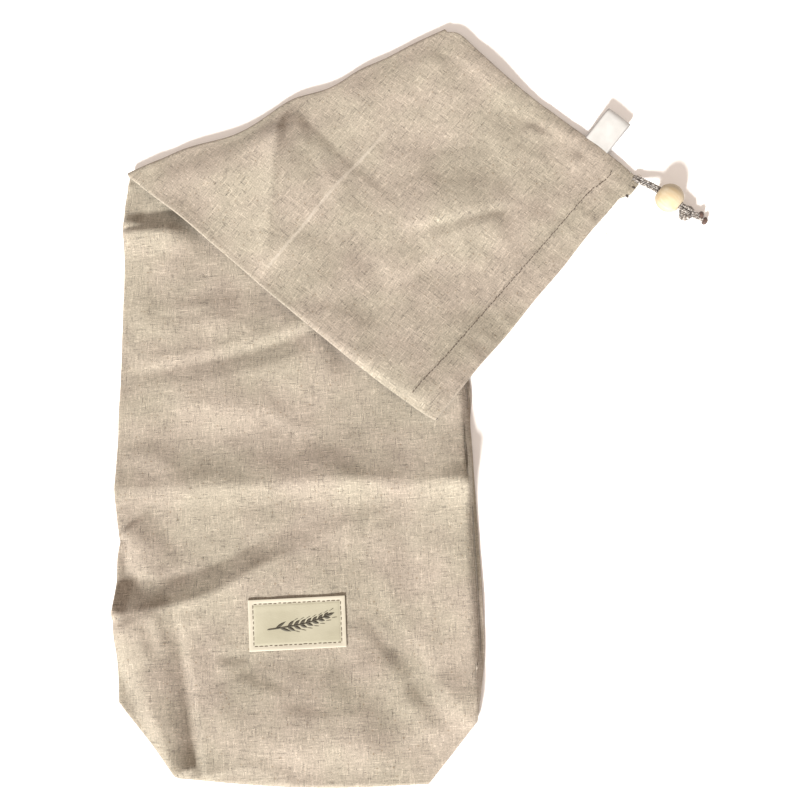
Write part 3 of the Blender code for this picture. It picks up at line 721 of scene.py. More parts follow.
def leather_finish():
    """Smooth cream leather, its face a little mottled, its rim outside the stitches painted paler
    as a highlight.
    """
    leather = Finish("cream_leather", 0.42, specular=0.45)
    x, y, _ = leather.parts(leather.flat())
    place = leather.place()
    # painted highlight: the rim outside the stitches is painted paler than the face
    inner_x, inner_y = [
        (size / 2 * MM - abs(at)).clipped(0.0030, 0.0044) for size, at in zip(PATCH_SIZE, (x, y))]
    clouds = leather.noise(place, 38.0, 3.0)
    pores = leather.node(
        "ShaderNodeTexVoronoi", {}, {"Vector": place, "Scale": 1500.0}, out="Distance"
    )
    face = leather.blend(clouds.clipped(0.35, 0.65), "leather face, deep", "leather face, pale")
    rim = leather.blend(clouds, "leather rim, deep", "leather rim, pale")
    leather.set("Base Color", leather.blend(inner_x * inner_y, rim, face))
    leather.set("Roughness", 0.36 + clouds * 0.22)
    creases = leather.noise(place, 260.0, 4.0)
    leather.set("Normal", leather.bump(pores * 0.5 + creases, 0.00012, 0.6))
    return leather.material


def motif_finish():
    pressed = Finish("pressed_brown", 0.7)
    wear = pressed.noise(pressed.place(), 900.0, 2.0)
    pressed.set("Base Color", pressed.blend(wear, "pressed brown, deep", "pressed brown, pale"))
    pressed.set("Normal", pressed.bump(wear, 0.0001))
    return pressed.material


def satin_finish():
    """White satin ribbon: fine ribs across it, a soft gloss, faint grey clouding and painted shade
    along both edges.
    """
    satin = Finish("white_satin", 0.42, sheen=0.1)
    flat = satin.flat()
    across, along, _ = satin.parts(flat)
    ribs = (along * (2 * math.pi / 0.00032)).wave()
    soft = satin.noise(flat, 90.0, 3.0)
    # painted shade: a grey band is painted along both edges of the ribbon
    edge = (0.5 * RIBBON_WIDTH * MM - abs(across)).clipped(0.0003, 0.0011)
    body = satin.blend(soft.clipped(0.3, 0.7), "satin, deep", "satin, pale")
    satin.set("Base Color", satin.blend(edge, "satin edge", body))
    satin.set("Roughness", 0.36 + soft * 0.16)
    satin.set("Normal", satin.bump(ribs * 0.2 + soft, 0.00012, 0.5))
    return satin.material


def cord_finish():
    """Braided cord whose yarns are white, grey and dark brown by turns, with painted shade in the
    crevices between them.
    """
    cord = Finish("mottled_cord", 0.85, sheen=0.25)
    around, along, _ = cord.parts(cord.flat())
    turns = 6.0
    right = around * turns + along / BRAID_PITCH * 3
    left = around * turns - along / BRAID_PITCH * 3
    over = ((right.floor() + left.floor()) / 2).fraction() * 2
    yarn = right.floor() * over + left.floor() * 3.7 * (1 - over)
    patchy = cord.noise(cord.vector(yarn * 1.37, along * 620, around * 3), 1.0, 1.0)
    fibre = cord.noise(cord.vector(around * 40, along * 2600, 0.0), 1.0, 2.0)
    tone = patchy * 0.8 + fibre * 0.2
    colour = cord.node("ShaderNodeValToRGB", {"stops": CORD_YARNS}, {0: tone})
    # painted shade: the crevices where the yarns cross are painted nearly black
    gaps = [abs(way.fraction() * 2 - 1).clipped(0.75, 1.0) for way in (right, left)]
    gaps = gaps[0] + gaps[1]
    cord.set("Base Color", cord.blend(gaps.clipped(0.0, 1.6) * 0.6, colour, "cord gap"))
    cord.set("Normal", cord.bump(1 - gaps + fibre * 0.5, 0.0003, 0.8))
    return cord.material


def wood_finish():
    """Pale limewood: long soft grain along the bore, a few pores, a waxed gloss."""
    wood = Finish("pale_wood", 0.55, specular=0.28)
    turn = math.atan2(BEAD_DIRECTION[1], BEAD_DIRECTION[0])
    lined = wood.node(
        "ShaderNodeMapping", {"vector_type": "TEXTURE"},
        {"Vector": wood.place(), "Location": tuple(world(*BEAD_CENTRE, BEAD_DIAMETER / 2)),
         "Rotation": (0.35, 0.12, turn), "Scale": (6.0, 1.0, 1.0)},
    )
    grain = wood.noise(lined, 420.0, 3.0)
    rings = wood.noise(lined, 120.0, 2.0)
    tone = grain * 0.4 + rings * 0.6
    wood.set("Base Color", wood.blend(tone.clipped(0.3, 0.7), "wood, deep", "wood, pale"))
    wood.set("Roughness", 0.48 + grain * 0.2)
    wood.set("Normal", wood.bump(grain, 0.00012, 0.5))
    return wood.material


def table_finish():
    table = Finish("white_table", 0.8, specular=0.15)
    soft = table.noise(table.place(), 3.0, 2.0)
    table.set("Base Color", table.blend(soft, "table, deep", "table, pale"))
    return table.material


# ---------------------------------------------------------------- shapes of the cloth
def ease(t):
    t = np.clip(t, 0.0, 1.0)
    return t * t * (3.0 - 2.0 * t)


def hermite(f, start, end, start_slope, end_slope):
    """A smooth way from start to end with these slopes, f from 0 to 1."""
    return (
        (2 * f**3 - 3 * f**2 + 1) * start + (f**3 - 2 * f**2 + f) * start_slope
        + (3 * f**2 - 2 * f**3) * end + (f**3 - f**2) * end_slope
    )


def smooth_through(at, places, values):
    """Values at the places, joined by a smooth curve without overshoot at its ends."""
    slopes = np.gradient(values, places)
    at = np.clip(at, places[0], places[-1])
    k = np.clip(np.searchsorted(places, at) - 1, 0, len(places) - 2)
    step = places[k + 1] - places[k]
    return hermite((at - places[k]) / step, values[k], values[k + 1],
                   step * slopes[k], step * slopes[k + 1])


def crease_height(crease, x, y):
    """Height of one crease over the points (x, y)."""
    _, points, heights, left, left_flank, right, right_flank, fades = crease
    points = np.array(points, dtype=float)
    direction, length = direction_of(points[0], points[-1])
    places, bows = by_line(*points.T, points[0], direction)
    along, aside = by_line(x, y, points[0], direction)
    aside = aside - smooth_through(along, places, bows)
    way = np.clip(along / length, 0.0, 1.0)

    def between(pair):
        return pair[0] + (pair[1] - pair[0]) * way

    flanks = [
        FLANKS[flank](np.clip(1.0 - np.abs(aside) / between(reach), 0.0, 1.0))
        for reach, flank in ((left, left_flank), (right, right_flank))
    ]
    side = np.where(aside > 0, *flanks)
    return between(heights) * side * ease(along / fades[0]) * ease((length - along) / fades[1])


def waves(x, y):
    total = np.zeros_like(x)
    for length, direction, height, phase in WAVES:
        along, aside = by_line(x, y, (0, 0), (math.cos(direction), math.sin(direction)))
        bent = -0.7 * np.sin(aside / length * 3.9)
        total += height * np.sin(2 * math.pi * along / length + phase + bent)
    return total


def relief(creases, x, y):
    return sum(crease_height(crease, x, y) for crease in creases)


def right_lift(x, y):
    """The front panel stands up along its right side, then drops to the side seam."""
    place, reach, extra = RIGHT_CREASE
    height = RIGHT_LIFT + extra * np.exp(-(((y - place) / reach) ** 2))
    height *= ease((y - RIGHT_RISE[0]) / RIGHT_RISE[1]) * ease((RIGHT_END[0] - y) / RIGHT_END[1])
    slope = ease(1 - (RIGHT_CREST - x) / RIGHT_SLOPE) ** RIGHT_SLOPE_ROUND
    wall = (1 - np.clip((x - RIGHT_CREST) / RIGHT_WALL, 0, 1)) ** RIGHT_WALL_ROUND
    return height * np.where(x > RIGHT_CREST, wall, slope)


def lower_relief(x, y):
    return relief(LOWER_CREASES, x, y) + waves(x, y) + right_lift(x, y)


ALONG_FOLD, _ = direction_of(FOLD_LEFT, FOLD_RIGHT)
INTO_BAG = (ALONG_FOLD[1], -ALONG_FOLD[0])
FOLD_AXIS = tuple(
    end[i] + INTO_BAG[i] * BEND for end in (FOLD_LEFT, FOLD_RIGHT) for i in (0, 1)
)
MOUTH_LEFT, MOUTH_RIGHT = UPPER_ROWS[-1][1:3], UPPER_ROWS[-1][3:5]
ALONG_MOUTH, MOUTH_LENGTH = direction_of(MOUTH_LEFT, MOUTH_RIGHT)
OUT_OF_MOUTH = (ALONG_MOUTH[1], -ALONG_MOUTH[0])


def from_fold(x, y):
    """How far the places lie from the fold's axis, into the bag."""
    return -by_line(x, y, FOLD_AXIS[:2], ALONG_FOLD)[1]


def by_mouth(x, y):
    """How far the places lie along the mouth's edge, and how far into the bag from it."""
    return by_line(x, y, MOUTH_LEFT, ALONG_MOUTH)


def edge_rows(rows, pitch):
    """Both edges through the rows: smooth, with a corner where a row asks for one."""
    points = np.array([row[1:5] for row in rows], dtype=float)
    corners = [row[5] for row in rows]
    slopes = np.diff(points, axis=0)
    last = len(rows) - 1
    steps = []
    for k in range(last):
        start_slope, end_slope = slopes[k], slopes[k]
        if k > 0 and not corners[k]:
            start_slope = (slopes[k - 1] + slopes[k]) / 2
        if k < last - 1 and not corners[k + 1]:
            end_slope = (slopes[k] + slopes[k + 1]) / 2
        count = max(2, round((np.hypot(*slopes[k][:2]) + np.hypot(*slopes[k][2:])) / 2 / pitch))
        for f in np.arange(count) / count:
            steps.append(hermite(f, points[k], points[k + 1], start_slope, end_slope))
    return np.array([*steps, points[last]])


def across_rows(ends, u):
    """Points of the rows between their ends, with the fold's scallops and the bottom's bow."""
    x = ends[:, 0:1] + (ends[:, 2:3] - ends[:, 0:1]) * u
    y = ends[:, 1:2] + (ends[:, 3:4] - ends[:, 1:2]) * u
    below = from_fold(x, y)
    inside = sum(
        depth * np.cos(math.pi / 2 * np.clip((u - centre) / half, -1, 1)) ** 2
        for _, centre, half, depth in FOLD_SCALLOPS
    )
    inside = inside * ease(1 - np.abs(below) / SCALLOP_REACH)
    bow = BOTTOM_BOW * np.sin(math.pi * u) * ease(1 - y / CUT_CORNER_TOP)
    hem = (below > 0) * ease(1 - np.abs(by_mouth(x, y)[1]) / HEM_DEPTH)
    flare = hem * (HEM_FLARE * ease((u - HEM_FLARE_START) / HEM_FLARE_RUN)
                   + HEM_WAVER * np.sin(u * HEM_WAVER_TURNS))
    return (x + INTO_BAG[0] * inside + OUT_OF_MOUTH[0] * flare,
            y + INTO_BAG[1] * inside + OUT_OF_MOUTH[1] * flare - bow)


def edge_distance(ends, u):
    """How far in from the nearer side edge each point lies."""
    width = np.hypot(ends[:, 2:3] - ends[:, 0:1], ends[:, 3:4] - ends[:, 1:2])
    return np.minimum(u, 1 - u) * width


def shifted(grid, rows, columns):
    """The grid moved by whole cells, its rim repeated."""
    row = np.clip(np.arange(grid.shape[0]) + rows, 0, grid.shape[0] - 1)
    column = np.clip(np.arange(grid.shape[1]) + columns, 0, grid.shape[1] - 1)
    return grid[row][:, column]


def bridged_relief():
    """The lower run's relief as the upper run feels it: taut from one high place to the next."""
    left, bottom, top = BRIDGE_AREA
    xs = np.arange(left, RIGHT_CREST, BRIDGE_CELL)
    ys = np.arange(bottom, top, BRIDGE_CELL)
    here = np.maximum(lower_relief(*np.meshgrid(xs, ys)), 0)
    reach = BRIDGE_GROW
    grown = np.max([
        shifted(here, j, i)
        for j in range(-reach, reach + 1) for i in range(-reach, reach + 1)
        if i * i + j * j <= reach * reach
    ], axis=0)
    steps = range(-BRIDGE_BLUR, BRIDGE_BLUR + 1)
    for down, across in ((1, 0), (0, 1), (1, 0), (0, 1)):
        grown = sum(shifted(grown, down * k, across * k) for k in steps) / len(steps)
    return xs, ys, np.maximum(grown, here)


def support(x, y):
    """Top of what the folded-over part lies on. It bridges the hollows of the lower run."""
    xs, ys, heights = bridged_relief()
    column = np.clip((x - xs[0]) / BRIDGE_CELL, 0, len(xs) - 1.001)
    row = np.clip((y - ys[0]) / BRIDGE_CELL, 0, len(ys) - 1.001)
    i, j = column.astype(int), row.astype(int)
    fi, fj = column - i, row - j
    around = (heights[j, i] * (1 - fi) + heights[j, i + 1] * fi) * (1 - fj) + (
        heights[j + 1, i] * (1 - fi) + heights[j + 1, i + 1] * fi) * fj
    past = ease((x - DRAPE_START) / DRAPE_LENGTH)
    return (LOWER_STACK + around + UPPER_LIFT) * (1 - past) + FLOOR_LIFT * past


def closed_seam(under, over, distance):
    """Draws two layers together where they are sewn."""
    t = np.clip(distance / SEAM_ROUND, 0, 1)
    middle, half = (under + over) / 2, (over - under) / 2
    half = SEAM_GAP / 2 + (half - SEAM_GAP / 2) * np.sqrt(1 - (1 - t) ** 2)
    return middle - half, middle + half


def hem_puckers(x, y):
    along, into = by_mouth(x, y)
    total = -STITCH_PULL * np.exp(-(((into - HEM_DEPTH) / STITCH_PULL_REACH) ** 2))
    for _, share, reach, height, slant in HEM_PUCKERS:
        aside = along - share * MOUTH_LENGTH - slant * into / HEM_DEPTH
        ridge = np.clip(1 - np.abs(aside) / PUCKER_REACH, 0, 1) ** 2
        total += height * ridge * ease(into / 4.0 + 0.35) * ease((reach + 6 - into) / 10.0)
    return total


def lower_heights(ends, u, x, y):
    """Heights of the back panel and the front panel below the fold."""
    rise = lower_relief(x, y)
    side = edge_distance(ends, u)
    middles = (ends[:, 0:2] + ends[:, 2:4]) / 2
    up_the_bag = np.cumsum(np.r_[0, np.hypot(*np.diff(middles, axis=0).T)])
    share = EDGE_SHARE * (1 - ease(side / EDGE_REACH)) * (u < 0.5)
    back = FIRST + share * np.maximum(rise, 0)
    front = np.maximum(FIRST + LAYER + rise, back + SEAM_GAP + AIR)
    return closed_seam(back, front, np.minimum(side, up_the_bag[:, None]))


def upper_heights(ends, u, x, y):
    """Heights of the front panel and the back panel of the part that is folded over."""
    below, into, rim = from_fold(x, y), by_mouth(x, y)[1], edge_distance(ends, u)
    resting = support(x, y)
    loose = 1 - ease(below / FLAP_LOOSE)
    front = (
        resting * (1 - loose) + np.maximum(FOLD_INSIDE, resting) * loose + CLOTH / 2 + AIR
        + FLAP_SWELL * np.sin(np.clip(below / FLAP_SWELL_LENGTH, 0, 1) * math.pi)
        + (relief(UPPER_CREASES, x, y) + waves(y, x)) * ease(below / FLAP_CREASES_START)
    )
    drop = (u > 0.5) * (1 - ease(rim / FLAP_SEAM_REACH)) * ease(below / FLAP_SEAM_START)
    front = np.maximum(front - FLAP_SEAM_DROP * drop, CLOTH)
    # the hem holds the layers of the mouth apart
    spread = HEM_SPREAD / 2 * ease((HEM_DEPTH + 3 - into) / 6.0) * ease(rim / 14.0)
    back = front + LAYER + spread + hem_puckers(x, y)
    front = front - np.minimum(spread, np.maximum(front - CLOTH, 0))
    return closed_seam(front, back, rim)


def past_fold(places, distance):
    """The places moved so far past the fold, out of the bag."""
    return [place - way * distance for place, way in zip(places, INTO_BAG)]


def make_panels():
    """Arrays of points (rows, columns, 3) and of flat places (rows, columns, 2)."""
    even = np.linspace(0, 1, COLUMNS - 2 * len(EDGE_COLUMNS) + 1)[1:-1]
    edge = np.array(EDGE_COLUMNS)
    u = np.concatenate(([0], edge, even, 1 - edge[::-1], [1]))[None, :]
    fold = ("fold", *FOLD_AXIS, True)
    lower = edge_rows((*LOWER_ROWS, fold), ROW_PITCH)[:-1]
    upper = edge_rows((fold, *UPPER_ROWS), ROW_PITCH)[1:]
    low, axis, up = [across_rows(ends, u) for ends in (lower, np.array([FOLD_AXIS]), upper)]
    back_low, front_low = lower_heights(lower, u, *low)
    front_up, back_up = upper_heights(upper, u, *up)
    turn = np.linspace(0, math.pi, BEND_STEPS + 1)[:, None]
    panels = {}
    for name, radius, z_low, z_up in (
        ("front", FRONT_BEND, front_low, front_up),
        ("back", BACK_BEND, back_low, back_up),
    ):
        start, end = z_low[-1:], z_up[:1]
        z_bend = (start + end) / 2 - (end - start) / 2 * np.cos(turn)
        # unfolded, the upper run lies beyond the fold line
        beyond = 2 * from_fold(*up) + math.pi * radius
        points = [
            np.stack(run, axis=-1) for run in (
                (*low, z_low), (*past_fold(axis, radius * np.sin(turn)), z_bend), (*up, z_up))]
        flats = [
            np.stack(run, axis=-1)
            for run in (low, past_fold(axis, radius * turn), past_fold(up, beyond))]
        panels[name] = np.concatenate(points), np.concatenate(flats)
    return panels


def turn_in_hem(points, flats, upward):
    """Adds the hem: the cloth turns round at the mouth and runs back inside the bag."""
    rim, side = points[-1], 1.0 if upward else -1.0
    out, flat_out = rim - points[-2], flats[-1] - flats[-2]
    out[:, 2] = 0
    for ways in (out, flat_out):
        ways /= np.linalg.norm(ways, axis=1)[:, None]
    extra, extra_flat = [], []
    for angle in np.linspace(0, math.pi, 6)[1:]:
        place = rim + out * HEM_TURN * math.sin(angle)
        place[:, 2] = rim[:, 2] + side * HEM_TURN * (1 - math.cos(angle))
        extra.append(place)
        extra_flat.append(flats[-1] + flat_out * HEM_TURN * angle)
    from_rim = np.linalg.norm(points[:, 0, :2] - rim[0, :2], axis=1)
    from_rim[:-30] = np.inf  # only the rows by the mouth
    for reach in HEM_ROWS:
        place = points[np.argmin(np.abs(from_rim - reach))].copy()
        place[:, 2] += side * 2 * HEM_TURN
        extra.append(place)
        extra_flat.append(flats[-1] + flat_out * (HEM_TURN * math.pi + reach))
    return np.concatenate((points, extra)), np.concatenate((flats, extra_flat))


def deselect():
    for obj in bpy.context.selected_objects:
        obj.select_set(False)


def edit(*steps):
    """Runs operators of edit mode, each with its settings, on the object at hand."""
    bpy.ops.object.mode_set(mode="EDIT")
    for operator, settings in steps:
        getattr(bpy.ops.mesh, operator)(**settings)
    bpy.ops.object.mode_set(mode="OBJECT")


def apply_modifier(obj, kind, **settings):
    modifier = obj.modifiers.new(kind.lower(), kind)
    for key, value in settings.items():
        setattr(modifier, key, value)
    bpy.context.view_layer.objects.active = obj
    bpy.ops.object.modifier_apply(modifier=modifier.name)


def cloth_sheet(points, flats):
    """A grid laid out on the points, with its flat places as the map of its weave."""
    rows, columns = points.shape[0] - 1, points.shape[1] - 1
    deselect()
    bpy.ops.mesh.primitive_grid_add(x_subdivisions=columns, y_subdivisions=rows, size=1.0)
    obj = bpy.context.object
    mesh = obj.data
    plain = np.empty(len(mesh.vertices) * 3)
    mesh.vertices.foreach_get("co", plain)
    plain = plain.reshape(-1, 3)
    column = np.rint((plain[:, 0] + 0.5) * columns).astype(int)
    row = np.rint((plain[:, 1] + 0.5) * rows).astype(int)
    mesh.vertices.foreach_set("co", ((points[row, column] + (*SHIFT, 0)) * MM).ravel())
    corner = np.empty(len(mesh.loops), dtype=int)
    mesh.loops.foreach_get("vertex_index", corner)
    mesh.uv_layers[0].name = CLOTH_MAP
    mesh.uv_layers[0].data.foreach_set("uv", (flats[row, column][corner] * MM).ravel())
    mesh.update()
    apply_modifier(obj, "SOLIDIFY", thickness=CLOTH * MM, offset=0.0, use_even_offset=False)
    return obj


# ---------------------------------------------------------------- small pieces
def settle(obj, name, finish, slot, *nodes, smooth=True):
    """Names a finished piece, gives it its finish and ties it to the model."""
    obj.name = obj.data.name = name
    obj.data.materials.clear()
    obj.data.materials.append(finish)
    if smooth:
        obj.data.shade_smooth()
    if nodes:
        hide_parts(*nodes)
    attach(obj, "root")
    return obj


def join(parts):
    deselect()
    for part in parts:
        part.select_set(True)
    bpy.context.view_layer.objects.active = parts[0]
    if len(parts) > 1:
        bpy.ops.object.join()
    return bpy.context.object


def mesh_piece(name, verts, faces, flats=None):
    """A mesh from its points, in metres, and the map of its corners."""
    mesh = bpy.data.meshes.new(name)
    mesh.from_pydata([tuple(v) for v in verts], [], faces)
    layer = mesh.uv_layers.new(name=CLOTH_MAP)
    if flats is not None:
        for loop in mesh.loops:
            layer.data[loop.index].uv = flats[loop.vertex_index]
    obj = bpy.data.objects.new(name, mesh)
    bpy.context.scene.collection.objects.link(obj)
    return obj


def grid_faces(rows, columns, turned=False):
    """Faces of a grid of points, row by row, with columns + 1 points in a row."""
    faces = []
    for row in range(rows):
        for a in range(row * (columns + 1), row * (columns + 1) + columns):
            b = a + columns + 1
            faces.append((a, a + 1, b + 1, b) if turned else (a, b, b + 1, a + 1))
    return faces


def surface(cloth, x, y, above=0.0):
    """The top of the cloth at a place on the bag, or so far above it."""
    hit, place, normal, _ = cloth.ray_cast(world(x, y, 60.0), Vector((0, 0, -1)))
    return place + normal * above * MM if hit else world(x, y, above)


def smooth_route(points, count):
    """Points evenly along a Catmull-Rom curve through the route's own points."""
    points = [Vector(p) for p in points]
    ends = [2 * points[0] - points[1]] + points + [2 * points[-1] - points[-2]]
    fine = []
    for i in range(1, len(ends) - 2):
        a, b, c, d = ends[i - 1 : i + 3]
        for step in range(20):
            t = step / 20
            fine.append(
                0.5 * (2 * b + (c - a) * t + (2 * a - 5 * b + 4 * c - d) * t**2
                       + (3 * b - a - 3 * c + d) * t**3)
            )
    fine.append(points[-1])
    walked = np.cumsum([0.0] + [(q - p).length for p, q in zip(fine, fine[1:])])
    where = np.linspace(0, walked[-1], count)
    return [Vector([np.interp(w, walked, [p[k] for p in fine]) for k in range(3)]) for w in where]


def braided_tube(name, route, radius, sides=14, start_angle=0.0):
    """A cord along the route, in metres: its plaited yarns stand out in rows of low bumps."""
    verts, flats = [], []
    walked, up, last = 0.0, Vector((0, 0, 1)), len(route) - 1
    for k, place in enumerate(route):
        ahead = (route[min(k + 1, last)] - route[max(k - 1, 0)]).normalized()
        across = ahead.cross(up).normalized()
        up = across.cross(ahead).normalized()
        if k:
            walked += (place - route[k - 1]).length
        size = radius * (0.86 if k in (0, last) else 1.0)
        for side in range(sides + 1):
            angle = 2 * math.pi * side / sides + start_angle
            bump = math.cos(angle * 4 + walked * BRAID_TURN) * math.cos(
                angle * 4 - walked * BRAID_TURN)
            grown = size * (1 + 0.085 * bump)
            verts.append(place + (across * math.cos(angle) + up * math.sin(angle)) * grown)
            flats.append((side / sides, walked))
    start, end = range(sides), range(last * (sides + 1), last * (sides + 1) + sides)
    faces = [*grid_faces(last, sides), tuple(start), tuple(reversed(end))]
    obj = mesh_piece(name, verts, faces, flats)
    deselect()
    obj.select_set(True)
    bpy.context.view_layer.objects.active = obj
    edit(("select_all", {"action": "SELECT"}), ("remove_doubles", {"threshold": 1e-6}),
         ("normals_make_consistent", {"inside": False}))
    return obj


def make_strands(finish):
    """The two strands that leave the hem, run through the bead and end at the knot."""
    along = Vector(DRAWSTRING_ROUTE[-1]) - Vector(DRAWSTRING_ROUTE[0])
    side = Vector((-along.y, along.x, 0)).normalized() * STRAND_PITCH / 2
    strands = []
    for node, sign in (("drawstring_upper", 1), ("drawstring_lower", -1)):
        points = smooth_route([Vector(p) + sign * side for p in DRAWSTRING_ROUTE], STRAND_POINTS)
        start = Vector(STRAND_START) + sign * side * 0.5
        hidden = [points[0].lerp(start, 1 - k / HIDDEN_POINTS) for k in range(HIDDEN_POINTS)]
        route = [world(*p) for p in (*hidden, *points)]
        obj = braided_tube(f"{node}_cord", route, STRAND / 2 * MM, start_angle=sign * 0.4)
        strands.append((settle(obj, f"{node}_cord", finish, "cord", node), route))
    return strands


def declare_strand(route):
    length = sum((b - a).length for a, b in zip(route, route[1:]))


def bead_frame():
    along = Vector(BEAD_DIRECTION).normalized()
    across = Vector((0, 0, 1)).cross(along).normalized()
    return along, across, along.cross(across)


def make_bead(finish):
    """A ball bored right through, the rims of the bore eased."""
    bore, half = BEAD_BORE / 2 * MM, BEAD_LENGTH / 2 * MM
    along, across, up = bead_frame()
    nothing = ("select_all", {"action": "DESELECT"})
    deselect()
    bpy.ops.mesh.primitive_uv_sphere_add(
        segments=64, ring_count=40, radius=BEAD_DIAMETER / 2 * MM)
    bead = bpy.context.object
    bpy.context.tool_settings.mesh_select_mode = (True, False, False)
    edit(nothing)
    for vertex in bead.data.vertices:
        vertex.select = math.hypot(*vertex.co[:2]) < bore * 1.02
    edit(("delete", {"type": "VERT"}), nothing)
    for vertex in bead.data.vertices:
        flat = math.hypot(*vertex.co[:2])
        if flat < bore * 1.2:
            vertex.select = True
            vertex.co.x *= bore / flat
            vertex.co.y *= bore / flat
            vertex.co.z = math.copysign(half, vertex.co.z)
    edit(("select_mode", {"type": "EDGE"}), ("bridge_edge_loops", {"number_cuts": 8}), nothing)
    for edge in bead.data.edges:
        ends = [bead.data.vertices[k].co for k in edge.vertices]
        edge.select = all(
            math.hypot(c.x, c.y) < bore * 1.02 and abs(c.z) > half * 0.995 for c in ends)
    edit(("bevel", {"offset": BEAD_RIM * MM, "segments": 4, "affect": "EDGES"}),
         ("select_all", {"action": "SELECT"}), ("normals_make_consistent", {"inside": False}))
    turn = Matrix((across, up, along)).transposed()
    bead.data.transform(turn.to_4x4())
    bead.data.transform(Matrix.Translation(world(*BEAD_CENTRE, BEAD_DIAMETER / 2)))
    return settle(bead, "wooden_bead", finish, "wood", "bead")


def on_table(obj):
    """No point of the piece reaches down into the table."""
    for vertex in obj.data.vertices:
        vertex.co.z = max(vertex.co.z, 0.0001)


def melted_tip(end, direction, phase):
    """The lump at the end of a cord that was sealed with a flame, with a dent in its face."""
    side = direction.cross(Vector((0, 0, 1))).normalized()
    over = side.cross(direction)
    deselect()
    bpy.ops.mesh.primitive_uv_sphere_add(segments=28, ring_count=18, radius=1.0)
    tip = bpy.context.object
    long, wide, high = TIP_SHAPE
    for vertex in tip.data.vertices:
        x, y, z = vertex.co
        dent = 1.15 * max(0.0, x) * math.exp(-((y * y + z * z) / 0.14))
        wobble = 1 + 0.10 * math.sin(5 * y + 3 * z + phase) + 0.06 * math.sin(9 * z)
        place = direction * (x * long - dent) + side * y * wide * wobble + over * z * high
        vertex.co = end + place * MM
    tip.data.flip_normals()  # that frame is left-handed
    on_table(tip)
    return tip


def make_knot(cord, melted):
    """An overhand knot pulled small, with two short ends, melted so that they don't fray."""
    along, across, up = bead_frame()
    middle = Vector(KNOT_CENTRE)
    pulled = [way * share for way, share in zip((along, across, up), KNOT_SHAPE)]
    turns, ends, tips = [], [], []
    for turn, size, phase in KNOT_COILS:
        points = []
        for k in range(KNOT_POINTS):
            t = 2 * math.pi * k / KNOT_POINTS + phase
            a = (math.sin(t) + 2 * math.sin(2 * t)) * size
            b = (math.cos(t) - 2 * math.cos(2 * t)) * size
            c = -math.sin(3 * t) * size
            spun = (a * math.cos(turn) - b * math.sin(turn),
                    a * math.sin(turn) + b * math.cos(turn), c)
            place = middle + sum((way * far for way, far in zip(pulled, spun)), Vector())
            points.append(world(place.x, place.y, max(place.z, KNOT_YARN + 0.1)))
        turns.append(braided_tube("turn", points, KNOT_YARN * MM, sides=12))
    for tip in KNOT_TIPS:
        route = [middle.lerp(Vector(tip), t) + Vector((0, 0, 0.5 * math.sin(t * math.pi)))
                 for t in np.linspace(0.3, 1.0, 22)]
        places = [world(p.x, p.y, max(p.z, STRAND / 2 + 0.15)) for p in route]
        ends.append(braided_tube("end", places, STRAND / 2 * 1.08 * MM, sides=12))
        tips.append(melted_tip(places[-1], (places[-1] - places[-3]).normalized(), tip[0]))
    tips = settle(join(tips), "melted_cord_ends", melted, "cord")
    knot = join([*turns, *ends])
    on_table(knot)
    return settle(knot, "cord_knot", cord, "cord", "knot"), tips


def make_ribbon(finish):
    """The care ribbon: a loop of satin, folded at its tip and sewn into the side seam."""
    side, _ = direction_of(UPPER_ROWS[2][3:5], UPPER_ROWS[3][3:5])
    side, out = Vector(side), Vector((-side[1], side[0]))
    lines = 12
    points = smooth_route([Vector((reach, up, 0)) for reach, up in RIBBON_RUN], 70)
    verts, flats = [], []
    walked = 0.0
    for k, point in enumerate(points):
        if k:
            walked += (point - points[k - 1]).length
        for c in range(lines + 1):
            across = (c / lines - 0.5) * RIBBON_WIDTH
            curl = 0.35 * math.sin(c / lines * math.pi * 1.3 + 0.4) * point.x / 20
            place = Vector(RIBBON_ROOT) + out * point.x + side * across
            verts.append(world(*place, point.y + curl))
            flats.append((across * MM, walked * MM))
    ribbon = mesh_piece("ribbon", verts, grid_faces(len(points) - 1, lines), flats)
    apply_modifier(ribbon, "SOLIDIFY", thickness=0.35 * MM, offset=0.0)
    settle(ribbon, "care_ribbon_loop", finish, "satin", "care_ribbon")


def stitch(places, width):
    """One stitch: a short plump thread through its points, rounded at both ends."""
    sides = 6
    verts, faces = [], []
    last = len(places) - 1
    for k, place in enumerate(places):
        ahead = (places[min(k + 1, last)] - places[max(k - 1, 0)]).normalized()
        across = ahead.cross(Vector((0, 0, 1))).normalized()
        up = across.cross(ahead)
        size = width / 2 * (0.45 if k in (0, last) else 1.0)
        for side in range(sides):
            angle = 2 * math.pi * side / sides
            verts.append(place + (across * math.cos(angle) + up * math.sin(angle)) * size)
    for k in range(last):
        for side in range(sides):
            a, b = k * sides + side, k * sides + (side + 1) % sides
            faces.append((a, a + sides, b + sides, b))
    faces.append(tuple(range(sides)))
    faces.append(tuple(last * sides + side for side in reversed(range(sides))))
    return mesh_piece("stitch", verts, faces)


def stitch_line(cloth, route, pitch, length, width, jitter=0.0, sink=0.1):
    """Stitches one behind another along a line on the cloth."""
    route = [Vector((*p, 0)) for p in route]
    total = sum((b - a).length for a, b in zip(route, route[1:]))
    count = max(1, round(total / pitch))
    fine = smooth_route(route, count * 8 + 1) if len(route) > 2 else [
        route[0].lerp(route[1], k / (count * 8)) for k in range(count * 8 + 1)]
    parts = []
    for k in range(count):
        wobble = jitter * math.sin(k * 12.9898) * math.cos(k * 4.137)
        size = length * (1 + 0.22 * math.sin(k * 7.7))
        middle = fine[k * 8 + 4]
        ahead = (fine[k * 8 + 7] - fine[k * 8 + 1]).normalized()
        aside = Vector((-ahead.y, ahead.x, 0)) * wobble
        places = []
        for t, rise in ((-0.5, -sink), (-0.32, 0.12), (0.0, 0.2), (0.32, 0.12), (0.5, -sink)):
            spot = middle + ahead * t * size + aside
            places.append(surface(cloth, spot.x, spot.y, rise * width))
        parts.append(stitch(places, width * MM))
    return parts


